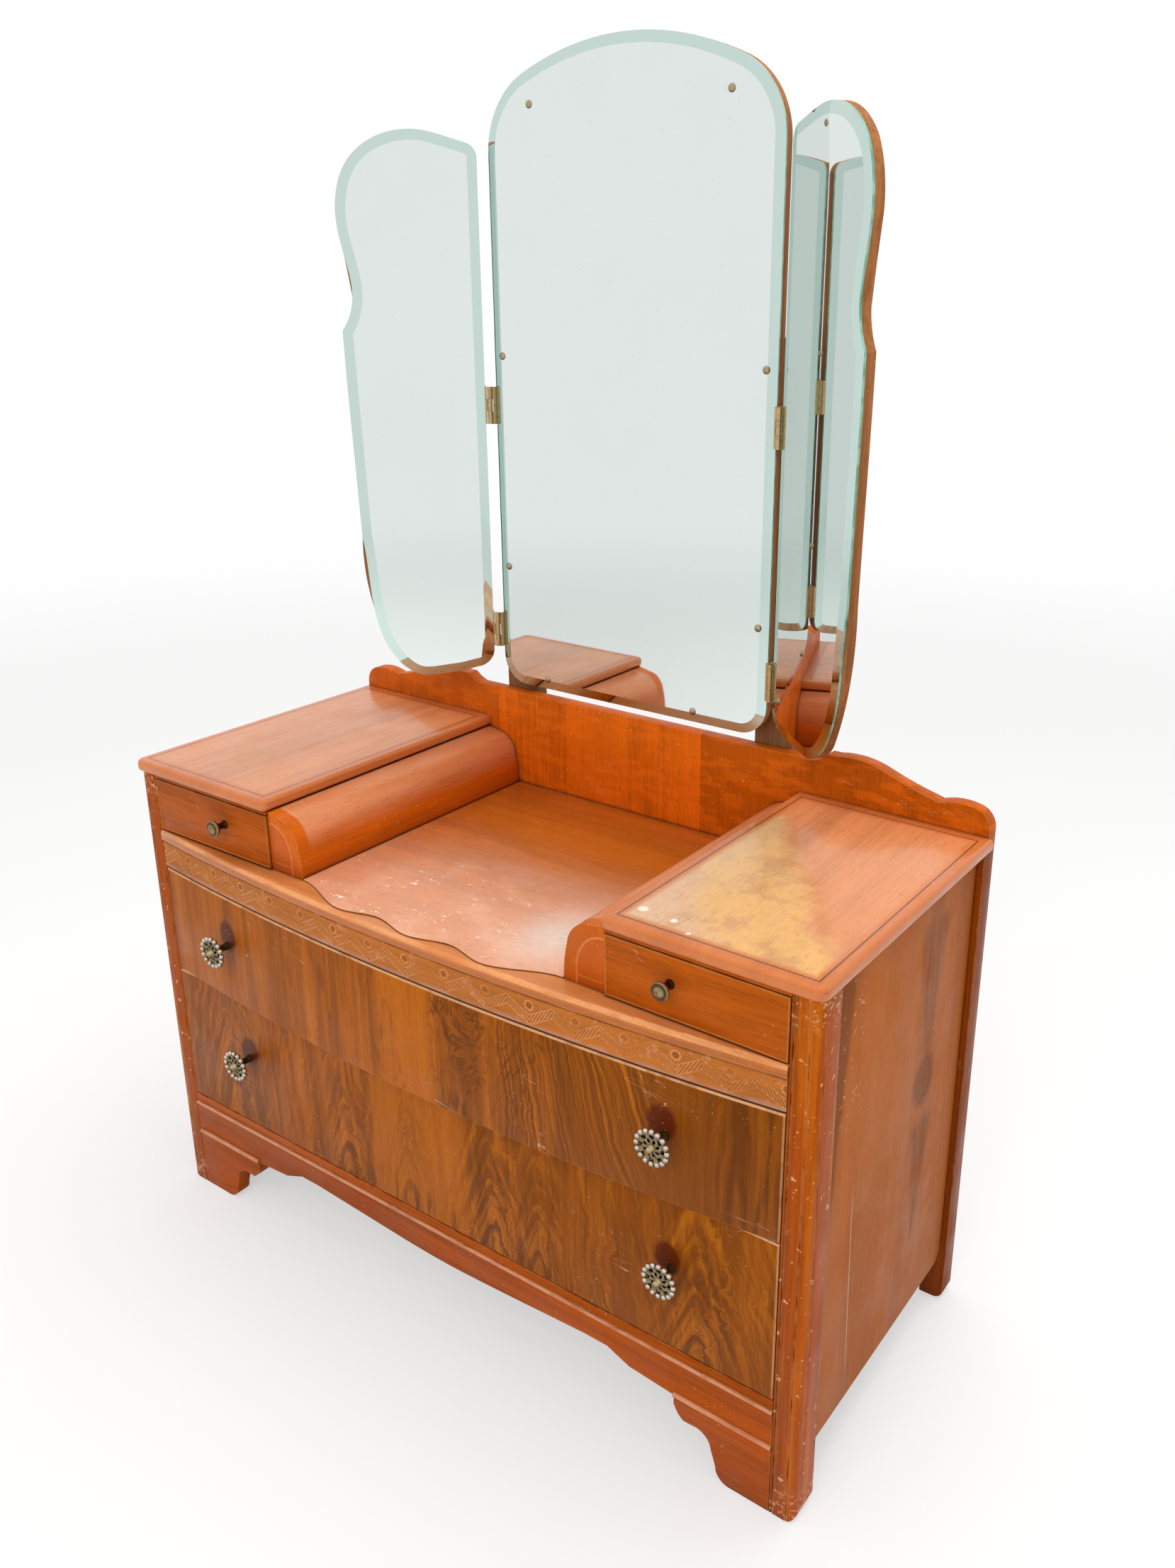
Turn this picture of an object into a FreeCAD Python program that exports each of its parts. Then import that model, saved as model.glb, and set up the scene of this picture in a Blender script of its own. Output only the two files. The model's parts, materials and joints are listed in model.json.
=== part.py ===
import FreeCAD, Part
import Sketcher
import math
import os

# Dressing table with a triple mirror, in millimetres. X runs to the right seen from the
# front, -Y is the front, Z is up, and the origin lies on the floor under the middle of
# the whole piece. Depths are measured backwards from the front face of the corner posts.

# Driving dimensions: name, value and what it is
DIMENSIONS = (
    ("top_width", 1070, "width over both pedestal tops"),
    ("opening_width", 993, "clear width between the corner posts"),
    ("post_width", 33.5, "corner post, across"),
    ("post_depth", 42, "front corner post, front to back"),
    ("rear_post_depth", 30, "rear corner post, front to back"),
    ("side_thickness", 24.5, "side board"),
    ("side_clearance", 68, "floor to the lower edge of a side"),
    ("side_corner", 24, "rounded lower rear corner of a side"),
    ("carcase_depth", 443, "post face to the back of the carcase"),
    ("back_thickness", 8, "back panel"),
    ("toe_radius", 14, "rounded toe of a post"),
    ("post_bead", 3.5, "bead along the inner edge of a front post"),
    ("post_quirk", 1.5, "groove beside a bead or a moulding"),
    ("post_moulding", 10.5, "rounded outer corner of a front post"),
    ("foot_height", 97, "bracket foot under the bottom rail"),
    ("foot_width", 130.5, "bracket foot, across"),
    ("foot_bead", 8, "bead along the top of a bracket foot"),
    ("bead_reach", 3, "how far the beads stand out in front"),
    ("rail_height", 63.5, "bottom rail above the feet"),
    ("rail_thickness", 22, "bottom rail and bracket feet"),
    ("rail_bead", 6, "bead along the bottom rail"),
    ("rail_bead_drop", 13.5, "top of the bottom rail to its bead"),
    ("rail_arch", 13, "rise of the shaped lower edge above the feet"),
    ("rail_lip", 5, "drop of the rail in front of the foot"),
    ("board_thickness", 14, "bottom board and dust board"),
    ("front_gap", 1.5, "gap round a drawer front, up and down"),
    ("side_gap", 0.8, "gap beside a drawer front and its box"),
    ("running_gap", 0.5, "gap under a drawer's sides and behind its front"),
    ("lower_front_height", 208.5, "front of the lower long drawer"),
    ("upper_front_height", 158.5, "front of the upper long drawer"),
    ("front_thickness", 22, "long drawer front"),
    ("bow_rise", 30, "how far the bowed fronts swell forward"),
    ("frieze_height", 42, "frieze under the deck"),
    ("deck_thickness", 14, "deck board"),
    ("deck_lip", 3, "deck edge in front of the frieze"),
    ("deck_nosing", 5, "rounding of the deck edge"),
    ("overlay_thickness", 2, "raised panel on the deck"),
    ("overlay_margin", 1.2, "raised panel clear of the quadrant blocks"),
    ("overlay_rim", 6, "deck edge left in front of the raised panel"),
    ("overlay_corner", 30, "how far the panel's front corners are drawn back"),
    ("small_front_height", 73.5, "front of a small drawer"),
    ("small_front_thickness", 20, "front of a small drawer"),
    ("fascia_height", 4, "rail over a small drawer"),
    ("fascia_thickness", 18, "rail over a small drawer"),
    ("slab_thickness", 16.5, "pedestal top"),
    ("slab_nosing", 6, "rounding of a pedestal top"),
    ("slab_overhang", 5, "pedestal top in front of the posts"),
    ("well_width", 533.6, "clear width between the pedestal tops"),
    ("quadrant_reach", 57, "width of a quadrant block on the deck"),
    ("quadrant_setback", 3, "quadrant block behind the post face"),
    ("quadrant_inset", 2.5, "outer face of a block behind the slab's inner edge"),
    ("gallery_thickness", 19.5, "gallery board"),
    ("gallery_rise", 62.5, "gallery above the pedestal tops"),
    ("gallery_middle", 48, "middle of the gallery above the pedestal tops"),
    ("wall", 12, "sides and back of a drawer box"),
    ("drawer_bottom", 6, "bottom of a drawer"),
    ("bottom_groove", 6, "lower edge of a drawer side to its bottom"),
    ("long_box_clearance", 6, "back of a long drawer to the rear posts"),
    ("small_box_clearance", 23, "back of a small drawer to the rear posts"),
    ("box_drop", 9, "drawer box below the top of its front"),
    ("knob_spread", 720, "between the two knobs of a long drawer"),
    ("knob_width", 47, "pierced knob"),
    ("knob_plate", 3, "plate of the pierced knob"),
    ("knob_stand", 22, "drawer front to the plate of the pierced knob"),
    ("knob_boss", 7, "boss in front of the plate"),
    ("knob_stem", 5.5, "radius of the stem of the pierced knob"),
    ("knob_pearl", 3.9, "radius of a pearl on the rim of the pierced knob"),
    ("knob_pierce", 3.2, "middle to corner of a hole in the pierced knob"),
    ("small_knob_width", 21, "plain knob of a small drawer"),
    ("small_knob_reach", 24, "plain knob in front of its drawer"),
    ("small_knob_place", 355, "middle of the table to a plain knob"),
    ("mirror_stand", 33, "face of the middle glass in front of the carcase's back"),
    ("mirror_bottom", 753, "floor to the lower edge of the middle mirror"),
    ("arch_rise", 125, "rise of the middle mirror's arch"),
    ("mirror_crown", 1590, "floor to the top of the middle mirror"),
    ("mirror_width", 444, "middle mirror"),
    ("mirror_arch", 402, "radius of the middle of the arch"),
    ("mirror_corner", 40, "radius of the lower corners of the middle mirror"),
    ("glass_thickness", 5, "mirror glass"),
    ("glass_bevel", 13, "width of the bevel along the glass"),
    ("bevel_depth", 2, "drop of the bevel along the glass"),
    ("mirror_backing", 12, "wooden back board of a mirror"),
    ("standard_width", 57, "mirror standard"),
    ("standard_place", 188, "middle of the table to a standard's inner edge"),
    ("standard_thickness", 22, "mirror standard"),
    ("standard_bottom", 330, "floor to the foot of a standard"),
    ("standard_top", 1250, "floor to the top of a standard"),
    ("batten_height", 60, "batten between the standards and the mirror"),
    ("batten_margin", 14, "standards' ends and mirror edge to a batten"),
    ("wing_width", 185.5, "side mirror"),
    ("wing_bottom", 765.5, "floor to the lowest point of a side mirror"),
    ("wing_height", 727, "side mirror"),
    ("left_angle", 46.5, "left mirror, turned forward from flat"),
    ("right_angle", 34.3, "right mirror, turned forward from flat"),
    ("hinge_height", 50, "butt hinge"),
    ("hinge_low", 830, "floor to the middle of a lower hinge"),
    ("hinge_high", 1148, "floor to the middle of an upper hinge"),
    ("hinge_leaf", 2, "leaf of a hinge"),
    ("hinge_stand", 5, "pin to the near face of the fixed leaf"),
    ("wing_stand", 4, "pin to the near face of the moving leaf"),
    ("pin_ahead", 4, "pin in front of the face of the middle glass"),
    ("knuckle_radius", 3.5, "knuckle of a hinge"),
    ("knuckle_gap", 0.3, "gap between two knuckles"),
    ("pin_radius", 1.3, "pin of a hinge"),
    ("pin_clearance", 0.08, "knuckle bore round the pin"),
    ("web_depth", 2.5, "web that joins a leaf to its knuckles"),
    ("leaf_margin", 1.5, "leaf short of the back of its board"),
    ("overrun", 10, "how far a cutting tool runs past the solid"),
)

KNUCKLES = 3
PEARLS = 16
HOLES = 8
SIDES = (("left", -1), ("right", 1))

# Outlines as shares of the width and the height that they follow
GALLERY_QUIRK_SHARES = ((0.543, 0), (0.564, 0.345), (0.581, 0.828))
GALLERY_CROWN_SHARES = ((0.603, 0.96), (0.651, 1), (0.738, 0.848), (0.797, 0.67), (0.855, 0.536))
GALLERY_LOBE_SHARES = ((0.872, 0.496), (0.915, 0.576), (0.964, 0.538), (0.99, 0.384), (1, 0.128))
FOOT_SWEEP_SHARES = ((0.613, 0), (0.521, 0.031), (0.452, 0.206))
FOOT_SWELL_SHARES = ((0.398, 0.433), (0.337, 0.588), (0.245, 0.639))
FOOT_NOTCH_SHARES = ((0.107, 0.629), (0.061, 0.68), (0.0077, 0.804))
RAIL_STEP_SHARES = ((0.827, 0), (0.79, 0.4), (0.737, 1))
RAIL_CENTRE_SHARES = ((0.642, 1), (0.4, 0.6), (0.19, 0.27))
RAIL_MIDDLE_SHARE = 0.115
QUADRANT_SHARES = ((0.02, 0.3), (0.1, 0.6), (0.25, 0.82), (0.5, 0.93))
OVERLAY_SHARES = ((0.97, 0.62), (0.86, 0.16), (0.74, 0.02), (0.585, 0.02), (0.43, 0.2), (0.31, 0.4))
OVERLAY_LOBE_SHARES = ((0.24, 0.2), (0.13, 0.04), (0, 0))
WING_SHOULDER_SHARES = ((0.15, 0.986), (0.407, 1), (0.677, 0.988), (0.887, 0.947), (0.978, 0.891))
WING_WAIST_SHARES = ((0.987, 0.845), (0.952, 0.793), (0.911, 0.719), (0.951, 0.679), (0.995, 0.66))
WING_FLANK_SHARES = ((0.99, 0.57), (0.968, 0.384), (0.957, 0.282))
WING_FOOT_SHARES = ((0.903, 0.137), (0.768, 0.041), (0.569, 0.001), (0.445, 0), (0.218, 0.007), (0.13, 0.012))
WING_LOW_SHARES = ((0.036, 0.024), (0, 0.05))
WING_HIGH_SHARES = ((0, 0.952), (0.02, 0.972), (0.06, 0.98))
SMALL_KNOB_SHARES = ((0.4, 0), (0.4, 0.6), (1, 0.6), (1, 1))
PIERCED_RING_SHARE = 0.56
BOSS_SHARE = 0.22
PEARL_SHOULDER_SHARES = (0.3, 0.7)


class Size:
    """A number together with the formula that gives it from the cells of the sheet."""

    def __init__(self, value, text):
        self.value = value
        self.text = text

    def __add__(self, other):
        return Size(self.value + number(other), f"({self.text} + {formula(other)})")

    def __sub__(self, other):
        return Size(self.value - number(other), f"({self.text} - {formula(other)})")

    def __mul__(self, other):
        return Size(self.value * number(other), f"({self.text} * {formula(other)})")

    def __rsub__(self, other):
        return Size(number(other) - self.value, f"({formula(other)} - {self.text})")

    def __truediv__(self, other):
        return Size(self.value / number(other), f"({self.text} / {formula(other)})")

    def __neg__(self):
        return Size(-self.value, f"(0 - {self.text})")

    __radd__ = __add__
    __rmul__ = __mul__


def number(size):
    return size.value if isinstance(size, Size) else size


def formula(size):
    return size.text if isinstance(size, Size) else f"({size})"


def root(size):
    return Size(math.sqrt(size.value), f"sqrt({size.text})")


def cosine(size):
    return Size(math.cos(math.radians(size.value)), f"cos({size.text} * 1deg)")


def sine(size):
    return Size(math.sin(math.radians(size.value)), f"sin({size.text} * 1deg)")


def make_sheet(document):
    """Writes the driving dimensions and gives them back as sizes."""
    sheet = document.addObject("Spreadsheet::Sheet", "Sizes")
    for row, (alias, value, meaning) in enumerate(DIMENSIONS, start=1):
        sheet.set(f"A{row}", meaning)
        sheet.set(f"B{row}", str(value))
        sheet.setAlias(f"B{row}", alias)
    document.recompute()
    return {alias: Size(float(sheet.get(alias)), f"Sizes.{alias}") for alias, value, meaning in DIMENSIONS}


doc = FreeCAD.newDocument("DressingTable")
size = make_sheet(doc)
nodes = []


# Heights above the floor
rail_top = size["foot_height"] + size["rail_height"]
lower_front_bottom = rail_top + size["front_gap"]
lower_front_top = lower_front_bottom + size["lower_front_height"]
upper_front_bottom = lower_front_top + size["front_gap"]
upper_front_top = upper_front_bottom + size["upper_front_height"]
frieze_bottom = upper_front_top + size["front_gap"]
deck_bottom = frieze_bottom + size["frieze_height"]
deck_top = deck_bottom + size["deck_thickness"]
small_front_bottom = deck_top + size["front_gap"]
small_front_top = small_front_bottom + size["small_front_height"]
fascia_bottom = small_front_top + size["front_gap"]
slab_bottom = fascia_bottom + size["fascia_height"]
table_top = slab_bottom + size["slab_thickness"]
dust_board_bottom = lower_front_top - (size["board_thickness"] - size["front_gap"]) / 2

# Half widths from the middle of the table
post_inner = size["opening_width"] / 2
post_outer = post_inner + size["post_width"]
well_edge = size["well_width"] / 2
block_outer = well_edge + size["quadrant_inset"]
block_inner = block_outer - size["quadrant_reach"]
mirror_edge = size["mirror_width"] / 2
pin_place = mirror_edge + size["hinge_leaf"] + size["hinge_stand"]
knob_place = size["knob_spread"] / 2

# Depths behind the front face of the posts
box_back = size["carcase_depth"] - size["back_thickness"]
rear_post_face = size["carcase_depth"] - size["rear_post_depth"]
gallery_face = size["carcase_depth"] - size["gallery_thickness"]
mirror_face = size["carcase_depth"] - size["mirror_stand"]
pin_depth = mirror_face - size["pin_ahead"]
backing_depth = mirror_face + size["glass_thickness"]
mirror_back = backing_depth + size["mirror_backing"]
overall_back = size["carcase_depth"] + size["standard_thickness"]

# The bowed fronts follow one arc through the inner front corners of the posts
bow_radius = (post_inner * post_inner + size["bow_rise"] * size["bow_rise"]) / (2 * size["bow_rise"])


def bow(place):
    """How far the bowed front stands in front of the posts at one place across."""
    return root(bow_radius * bow_radius - place * place) - (bow_radius - size["bow_rise"])


# The pierced knobs reach furthest forward and the mirror standards furthest back
knob_reach = size["knob_stand"] + size["knob_plate"] + size["knob_boss"]
knob_seat = bow(knob_place - size["knob_stem"])
overall_front = knob_seat + knob_reach
face_y = (overall_front - overall_back) / 2


def keep(piece, name):
    """Gives a finished sub-part its name and remembers it for export."""
    piece.Label = name
    nodes.append(piece)
    return piece


def bind(piece, place, sized):
    """Ties an object's sizes and its place to the sheet; a depth runs back from the posts."""
    across, depth, height = place
    for name, value in sized.items():
        setattr(piece, name, number(value))
        piece.setExpression(name, formula(value))
    for name, value in (("x", across), ("y", face_y + depth), ("z", height)):
        piece.setExpression("Placement.Base." + name, formula(value))


def box(name, across, depth, height, place):
    """A plain board: its three sizes and its left, front, lower corner."""
    board = doc.addObject("Part::Box", name)
    bind(board, place, {"Length": across, "Width": depth, "Height": height})
    return board


def plane_of(body, role):
    for feature in body.Origin.OriginFeatures:
        if feature.Role == role:
            return feature
    raise ValueError("no plane " + role)


def vector(point):
    return FreeCAD.Vector(number(point[0]), number(point[1]), 0)


def line(*points):
    return [("line", (point,)) for point in points]


def arc(middle, end):
    return [("arc", (middle, end))]


def curve(*points):
    return [("curve", points)]


def arcs(*points):
    """Arcs through two points each, after a straight line where one point is left over."""
    spare = len(points) % 2
    steps = line(*points[:spare])
    for middle, end in zip(points[spare::2], points[spare + 1::2]):
        steps += arc(middle, end)
    return steps


def edge_between(kind, here, points):
    """The geometry of one stretch of an outline."""
    if kind == "line":
        return Part.LineSegment(vector(here), vector(points[0]))
    if kind == "arc":
        return Part.Arc(vector(here), vector(points[0]), vector(points[1]))
    spline = Part.BSplineCurve()
    spline.interpolate([vector(point) for point in (here, *points)])
    return spline


def vertex_at(sketch, edge, point):
    """Which end of an edge, 1 or 2, lies at a point."""
    gaps = [sketch.getPoint(edge, end).distanceToPoint(vector(point)) for end in (1, 2)]
    return 1 if gaps[0] < gaps[1] else 2


def draw(body, role, start, steps):
    """A closed outline on one of the body's own planes, with its corners tied to the sheet."""
    sketch = body.newObject("Sketcher::SketchObject", body.Name + "Outline")
    sketch.AttachmentSupport = [(plane_of(body, role), "")]
    sketch.MapMode = "FlatFace"
    here = start
    for kind, points in steps + line(start):
        if vector(here).distanceToPoint(vector(points[-1])) == 0:
            continue
        edge = sketch.addGeometry(edge_between(kind, here, points))
        end = vertex_at(sketch, edge, here)
        for name, axis in (("DistanceX", 0), ("DistanceY", 1)):
            spot = sketch.addConstraint(
                Sketcher.Constraint(name, -1, 1, edge, end, number(here[axis]))
            )
            sketch.setExpression(f"Constraints[{spot}]", formula(here[axis]))
            other = sketch.addConstraint(
                Sketcher.Constraint(name, -1, 1, edge, 3 - end, number(points[-1][axis]))
            )
            sketch.setExpression(f"Constraints[{other}]", formula(points[-1][axis]))
        here = points[-1]
    return sketch


def pad(body, sketch, length, reversed_way=False):
    """Extrudes an outline off its plane."""
    feature = body.newObject("PartDesign::Pad", sketch.Name + "Pad")
    feature.Profile = sketch
    feature.setExpression("Length", formula(length))
    feature.Length = number(length)
    feature.Reversed = reversed_way
    return feature


def upright(name, start, steps, thickness, place):
    """A board drawn as seen from the front; it runs forward from its own back face."""
    body = doc.addObject("PartDesign::Body", name)
    pad(body, draw(body, "XZ_Plane", start, steps), thickness)
    bind(body, place, {})
    return body


def flat(name, start, steps, thickness, place):
    """A board drawn as seen from above; it rises from its own underside."""
    body = doc.addObject("PartDesign::Body", name)
    pad(body, draw(body, "XY_Plane", start, steps), thickness)
    bind(body, place, {})
    return body


def revolve(name, profile, place):
    """A turned piece: its profile is radius and reach in front of the drawer."""
    body = doc.addObject("PartDesign::Body", name)
    start, *steps = profile
    sketch = draw(body, "XY_Plane", start, line(*steps))
    spun = body.newObject("PartDesign::Revolution", name + "Turned")
    spun.Profile = sketch
    spun.ReferenceAxis = (sketch, ["V_Axis"])
    spun.Angle = 360
    bind(body, place, {})
    return body


def mirrored(points, side, width, height, base):
    """Turns an outline's shares into points on one side of the middle."""
    return [(side * share_x * width, base + share_z * height) for share_x, share_z in points]


def cut_toe(post, side, height):
    """Rounds the lower outer corner of a front post."""
    toe = size["toe_radius"]
    outer = side * size["post_width"]
    slope = toe * (1 - math.sqrt(1 / 2))
    low = -size["overrun"]
    sketch = draw(
        post,
        "XZ_Plane",
        (outer - side * toe, 0),
        arc((outer - side * slope, slope), (outer, toe))
        + line((outer - side * low, toe), (outer - side * low, low), (outer - side * toe, low)),
    )
    pocket = post.newObject("PartDesign::Pocket", post.Name + "Toe")
    pocket.Profile = sketch
    pocket.Type = "Length"
    pocket.Length = number(height)
    pocket.setExpression("Length", formula(height))
    pocket.Midplane = True
    return pocket


# Carcase
def front_post(name, side):
    """A corner post with a bead inside and a rounded moulding on its outer corner."""
    bead = size["post_bead"]
    quirk = size["post_quirk"]
    round_off = size["post_moulding"]
    width = size["post_width"]
    depth = size["post_depth"]
    slope = round_off * (1 - math.sqrt(1 / 2))
    start = (0, depth)
    steps = line((0, bead / 2))
    steps += arc((side * bead / 2, 0), (side * bead, bead / 2))
    steps += line(
        (side * (bead + quirk / 2), quirk),
        (side * (bead + quirk), 0),
        (side * (width - round_off - quirk), 0),
        (side * (width - round_off - quirk / 2), quirk),
        (side * (width - round_off), 0),
    )
    steps += arc((side * (width - slope), slope), (side * width, round_off))
    steps += line(
        (side * (width - quirk), round_off + quirk / 2),
        (side * width, round_off + quirk),
        (side * width, depth),
    )
    body = flat(name, start, steps, slab_bottom, (side * post_inner, 0, 0))
    cut_toe(body, side, (depth + size["overrun"]) * 2)
    return keep(body, name)


def rear_post(name, side):
    width = size["post_width"]
    toe = size["toe_radius"]
    slope = toe * (1 - math.sqrt(1 / 2))
    steps = line((0, slab_bottom), (side * width, slab_bottom), (side * width, toe))
    steps += arc((side * (width - slope), slope), (side * (width - toe), 0))
    place = (side * post_inner, size["carcase_depth"], 0)
    return keep(upright(name, (0, 0), steps, size["rear_post_depth"], place), name)


def side_panel(name, side):
    """The solid side between two posts, with its lower rear corner rounded."""
    length = rear_post_face - size["post_depth"]
    height = slab_bottom - size["side_clearance"]
    corner = size["side_corner"]
    slope = corner * (1 - math.sqrt(1 / 2))
    body = doc.addObject("PartDesign::Body", name)
    steps = line((0, height), (length, height), (length, corner))
    steps += arc((length - slope, slope), (length - corner, 0))
    pad(body, draw(body, "YZ_Plane", (0, 0), steps), size["side_thickness"], side < 0)
    bind(body, (side * post_inner, size["post_depth"], size["side_clearance"]), {})
    return keep(body, name)


def back_panel():
    height = deck_bottom - size["side_clearance"]
    place = (-post_inner, box_back, size["side_clearance"])
    return keep(box("back_panel", post_inner * 2, size["back_thickness"], height, place), "back_panel")


def bottom_board():
    place = (-post_inner, size["rail_thickness"], rail_top - size["board_thickness"])
    depth = box_back - size["rail_thickness"]
    board = box("bottom_board", post_inner * 2, depth, size["board_thickness"], place)
    return keep(board, "bottom_board")


def dust_board():
    front = size["front_thickness"] + size["running_gap"]
    place = (-post_inner, front, dust_board_bottom)
    board = box("dust_board", post_inner * 2, box_back - front, size["board_thickness"], place)
    return keep(board, "dust_board")


def bottom_rail():
    """The flat rail over the feet, with a shaped lower edge and a bead along its face."""
    foot = size["foot_height"]
    inner = post_inner - size["foot_width"]
    arch = size["rail_arch"]
    left_step = mirrored(RAIL_STEP_SHARES, -1, inner, arch, foot)
    right_step = mirrored(RAIL_STEP_SHARES, 1, inner, arch, foot)
    left_centre = mirrored(RAIL_CENTRE_SHARES, -1, inner, arch, foot)
    right_centre = mirrored(RAIL_CENTRE_SHARES, 1, inner, arch, foot)
    middle = (0, foot + RAIL_MIDDLE_SHARE * arch)
    lip = foot - size["rail_lip"]
    steps = line((post_inner, rail_top), (post_inner, foot), (inner, foot), (inner, lip), right_step[0])
    steps += arc(right_step[1], right_step[2])
    steps += line(right_centre[0])
    steps += curve(*right_centre[1:], middle, *left_centre[:0:-1])
    steps += line(left_centre[0], left_step[2])
    steps += arc(left_step[1], left_step[0])
    steps += line((-inner, lip), (-inner, foot), (-post_inner, foot))
    place = (0, size["rail_thickness"], 0)
    body = upright("bottom_rail", (-post_inner, rail_top), steps, size["rail_thickness"], place)
    add_bead(body, -post_inner, post_inner, rail_top - size["rail_bead_drop"], size["rail_bead"])
    return keep(body, "bottom_rail")


def add_bead(body, start, end, top, height):
    """A half round bead along the front face of an upright board."""
    face = -size["rail_thickness"]
    sketch = draw(
        body,
        "YZ_Plane",
        (face, top),
        arc((face - size["bead_reach"], top - height / 2), (face, top - height)),
    )
    sketch.AttachmentOffset = FreeCAD.Placement(
        FreeCAD.Vector(0, 0, number(start)), FreeCAD.Rotation()
    )
    sketch.setExpression("AttachmentOffset.Base.z", formula(start))
    return pad(body, sketch, end - start)


def bracket_foot(name, side):
    """A shaped foot beside a corner post, with a bead along its top."""
    width = size["foot_width"]
    height = size["foot_height"]
    inner = post_inner - width
    steps = line((side * width, height), (side * width, 0))
    for shares in (FOOT_SWEEP_SHARES, FOOT_SWELL_SHARES, FOOT_NOTCH_SHARES):
        first, middle, last = mirrored(shares, side, width, height, 0)
        steps += line(first)
        steps += arc(middle, last)
    steps += line((0, last[1]))
    place = (side * inner, size["rail_thickness"], 0)
    body = upright(name, (0, height), steps, size["rail_thickness"], place)
    if side > 0:
        add_bead(body, 0, width, height, size["foot_bead"])
    else:
        add_bead(body, -width, 0, height, size["foot_bead"])
    return keep(body, name)


def bowed_board(name, thickness, height, place, edge, lip=0):
    """A board whose front and back faces follow the bow, out to one half width."""
    crest = -(bow(0) + lip)
    end = -(bow(edge) + lip)
    start = (-edge, end)
    steps = arc((0, crest), (edge, end))
    steps += line((edge, end + thickness))
    steps += arc((0, crest + thickness), (-edge, end + thickness))
    return flat(name, start, steps, height, place)


def frieze_board():
    place = (0, 0, frieze_bottom)
    board = bowed_board("frieze_board", size["front_thickness"], size["frieze_height"], place, post_inner)
    return keep(board, "frieze_board")


def deck_board():
    """The deck under the small drawers and the well, with its bowed edge rounded above."""
    lip = size["deck_lip"]
    back = size["carcase_depth"]
    start = (-post_inner, -lip)
    steps = arc((0, -(size["bow_rise"] + lip)), (post_inner, -lip))
    steps += line((post_inner, back), (-post_inner, back))
    body = flat("deck_board", start, steps, size["deck_thickness"], (0, 0, deck_bottom))
    doc.recompute()
    blank = body.Tip
    top = blank.Shape.BoundBox.Center.z
    edges = [
        f"Edge{index}"
        for index, edge in enumerate(blank.Shape.Edges, start=1)
        if edge.CenterOfMass.y < -number(lip) and edge.CenterOfMass.z > top
    ]
    rounded = body.newObject("PartDesign::Fillet", "deckNosing")
    rounded.Base = (blank, edges)
    rounded.Radius = number(size["deck_nosing"])
    rounded.setExpression("Radius", formula(size["deck_nosing"]))
    return keep(body, "deck_board")


def deck_overlay():
    """The raised panel between the quadrant blocks, with a serpentine front edge."""
    half = block_inner - size["overlay_margin"]
    front = -(size["bow_rise"] + size["deck_lip"] - size["overlay_rim"])
    corner = size["overlay_corner"]
    back = gallery_face

    def shaped(shares, side):
        return [(side * share_x * half, front + share_y * corner) for share_x, share_y in shares]

    start = (half, front + corner)
    right, left = shaped(OVERLAY_SHARES, 1), shaped(OVERLAY_SHARES, -1)
    right_lobe, left_lobe = shaped(OVERLAY_LOBE_SHARES, 1), shaped(OVERLAY_LOBE_SHARES, -1)
    steps = arcs(*right)
    steps += arcs(*right_lobe, *left_lobe[1::-1], left[5])
    steps += arcs(*left[4::-1], (-half, front + corner))
    steps += line((-half, back), (half, back))
    body = flat("deck_overlay", start, steps, size["overlay_thickness"], (0, 0, deck_top))
    return keep(body, "deck_overlay")


def quadrant(name, side):
    """A block that closes a small drawer in and sweeps down to the deck."""
    width = block_outer - block_inner
    height = slab_bottom - deck_top
    reach = size["quadrant_reach"] - size["quadrant_inset"]
    sweep = [(-side * (width - share_x * reach), share_z * height) for share_x, share_z in QUADRANT_SHARES]
    steps = line((-side * width, 0))
    steps += arc(sweep[0], sweep[1])
    steps += arc(sweep[2], sweep[3])
    steps += line((-side * size["quadrant_inset"], height), (0, height))
    depth = gallery_face - size["quadrant_setback"]
    place = (side * block_outer, gallery_face, deck_top)
    return keep(upright(name, (0, 0), steps, depth, place), name)


def fascia(name, side):
    width = post_inner - block_outer
    left = side * (post_inner + block_outer) / 2 - width / 2
    rail = box(name, width, size["fascia_thickness"], size["fascia_height"], (left, 0, fascia_bottom))
    return keep(rail, name)


def pedestal_top(name, side):
    """One pedestal's slab with a rounded edge on its three free sides."""
    width = size["top_width"] / 2 - well_edge
    depth = gallery_face + size["slab_overhang"]
    left = side * (size["top_width"] / 2 + well_edge) / 2 - width / 2
    place = (left, -size["slab_overhang"], slab_bottom)
    blank = box(name + "_blank", width, depth, size["slab_thickness"], place)
    doc.recompute()
    middle = blank.Shape.BoundBox.Center
    radius = number(size["slab_nosing"])
    free = [
        (index, radius, radius)
        for index, edge in enumerate(blank.Shape.Edges, start=1)
        if edge.CenterOfMass.z != middle.z and edge.CenterOfMass.y <= middle.y
    ]
    rounded = doc.addObject("Part::Fillet", name)
    rounded.Base = blank
    rounded.Edges = free
    return keep(rounded, name)


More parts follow.
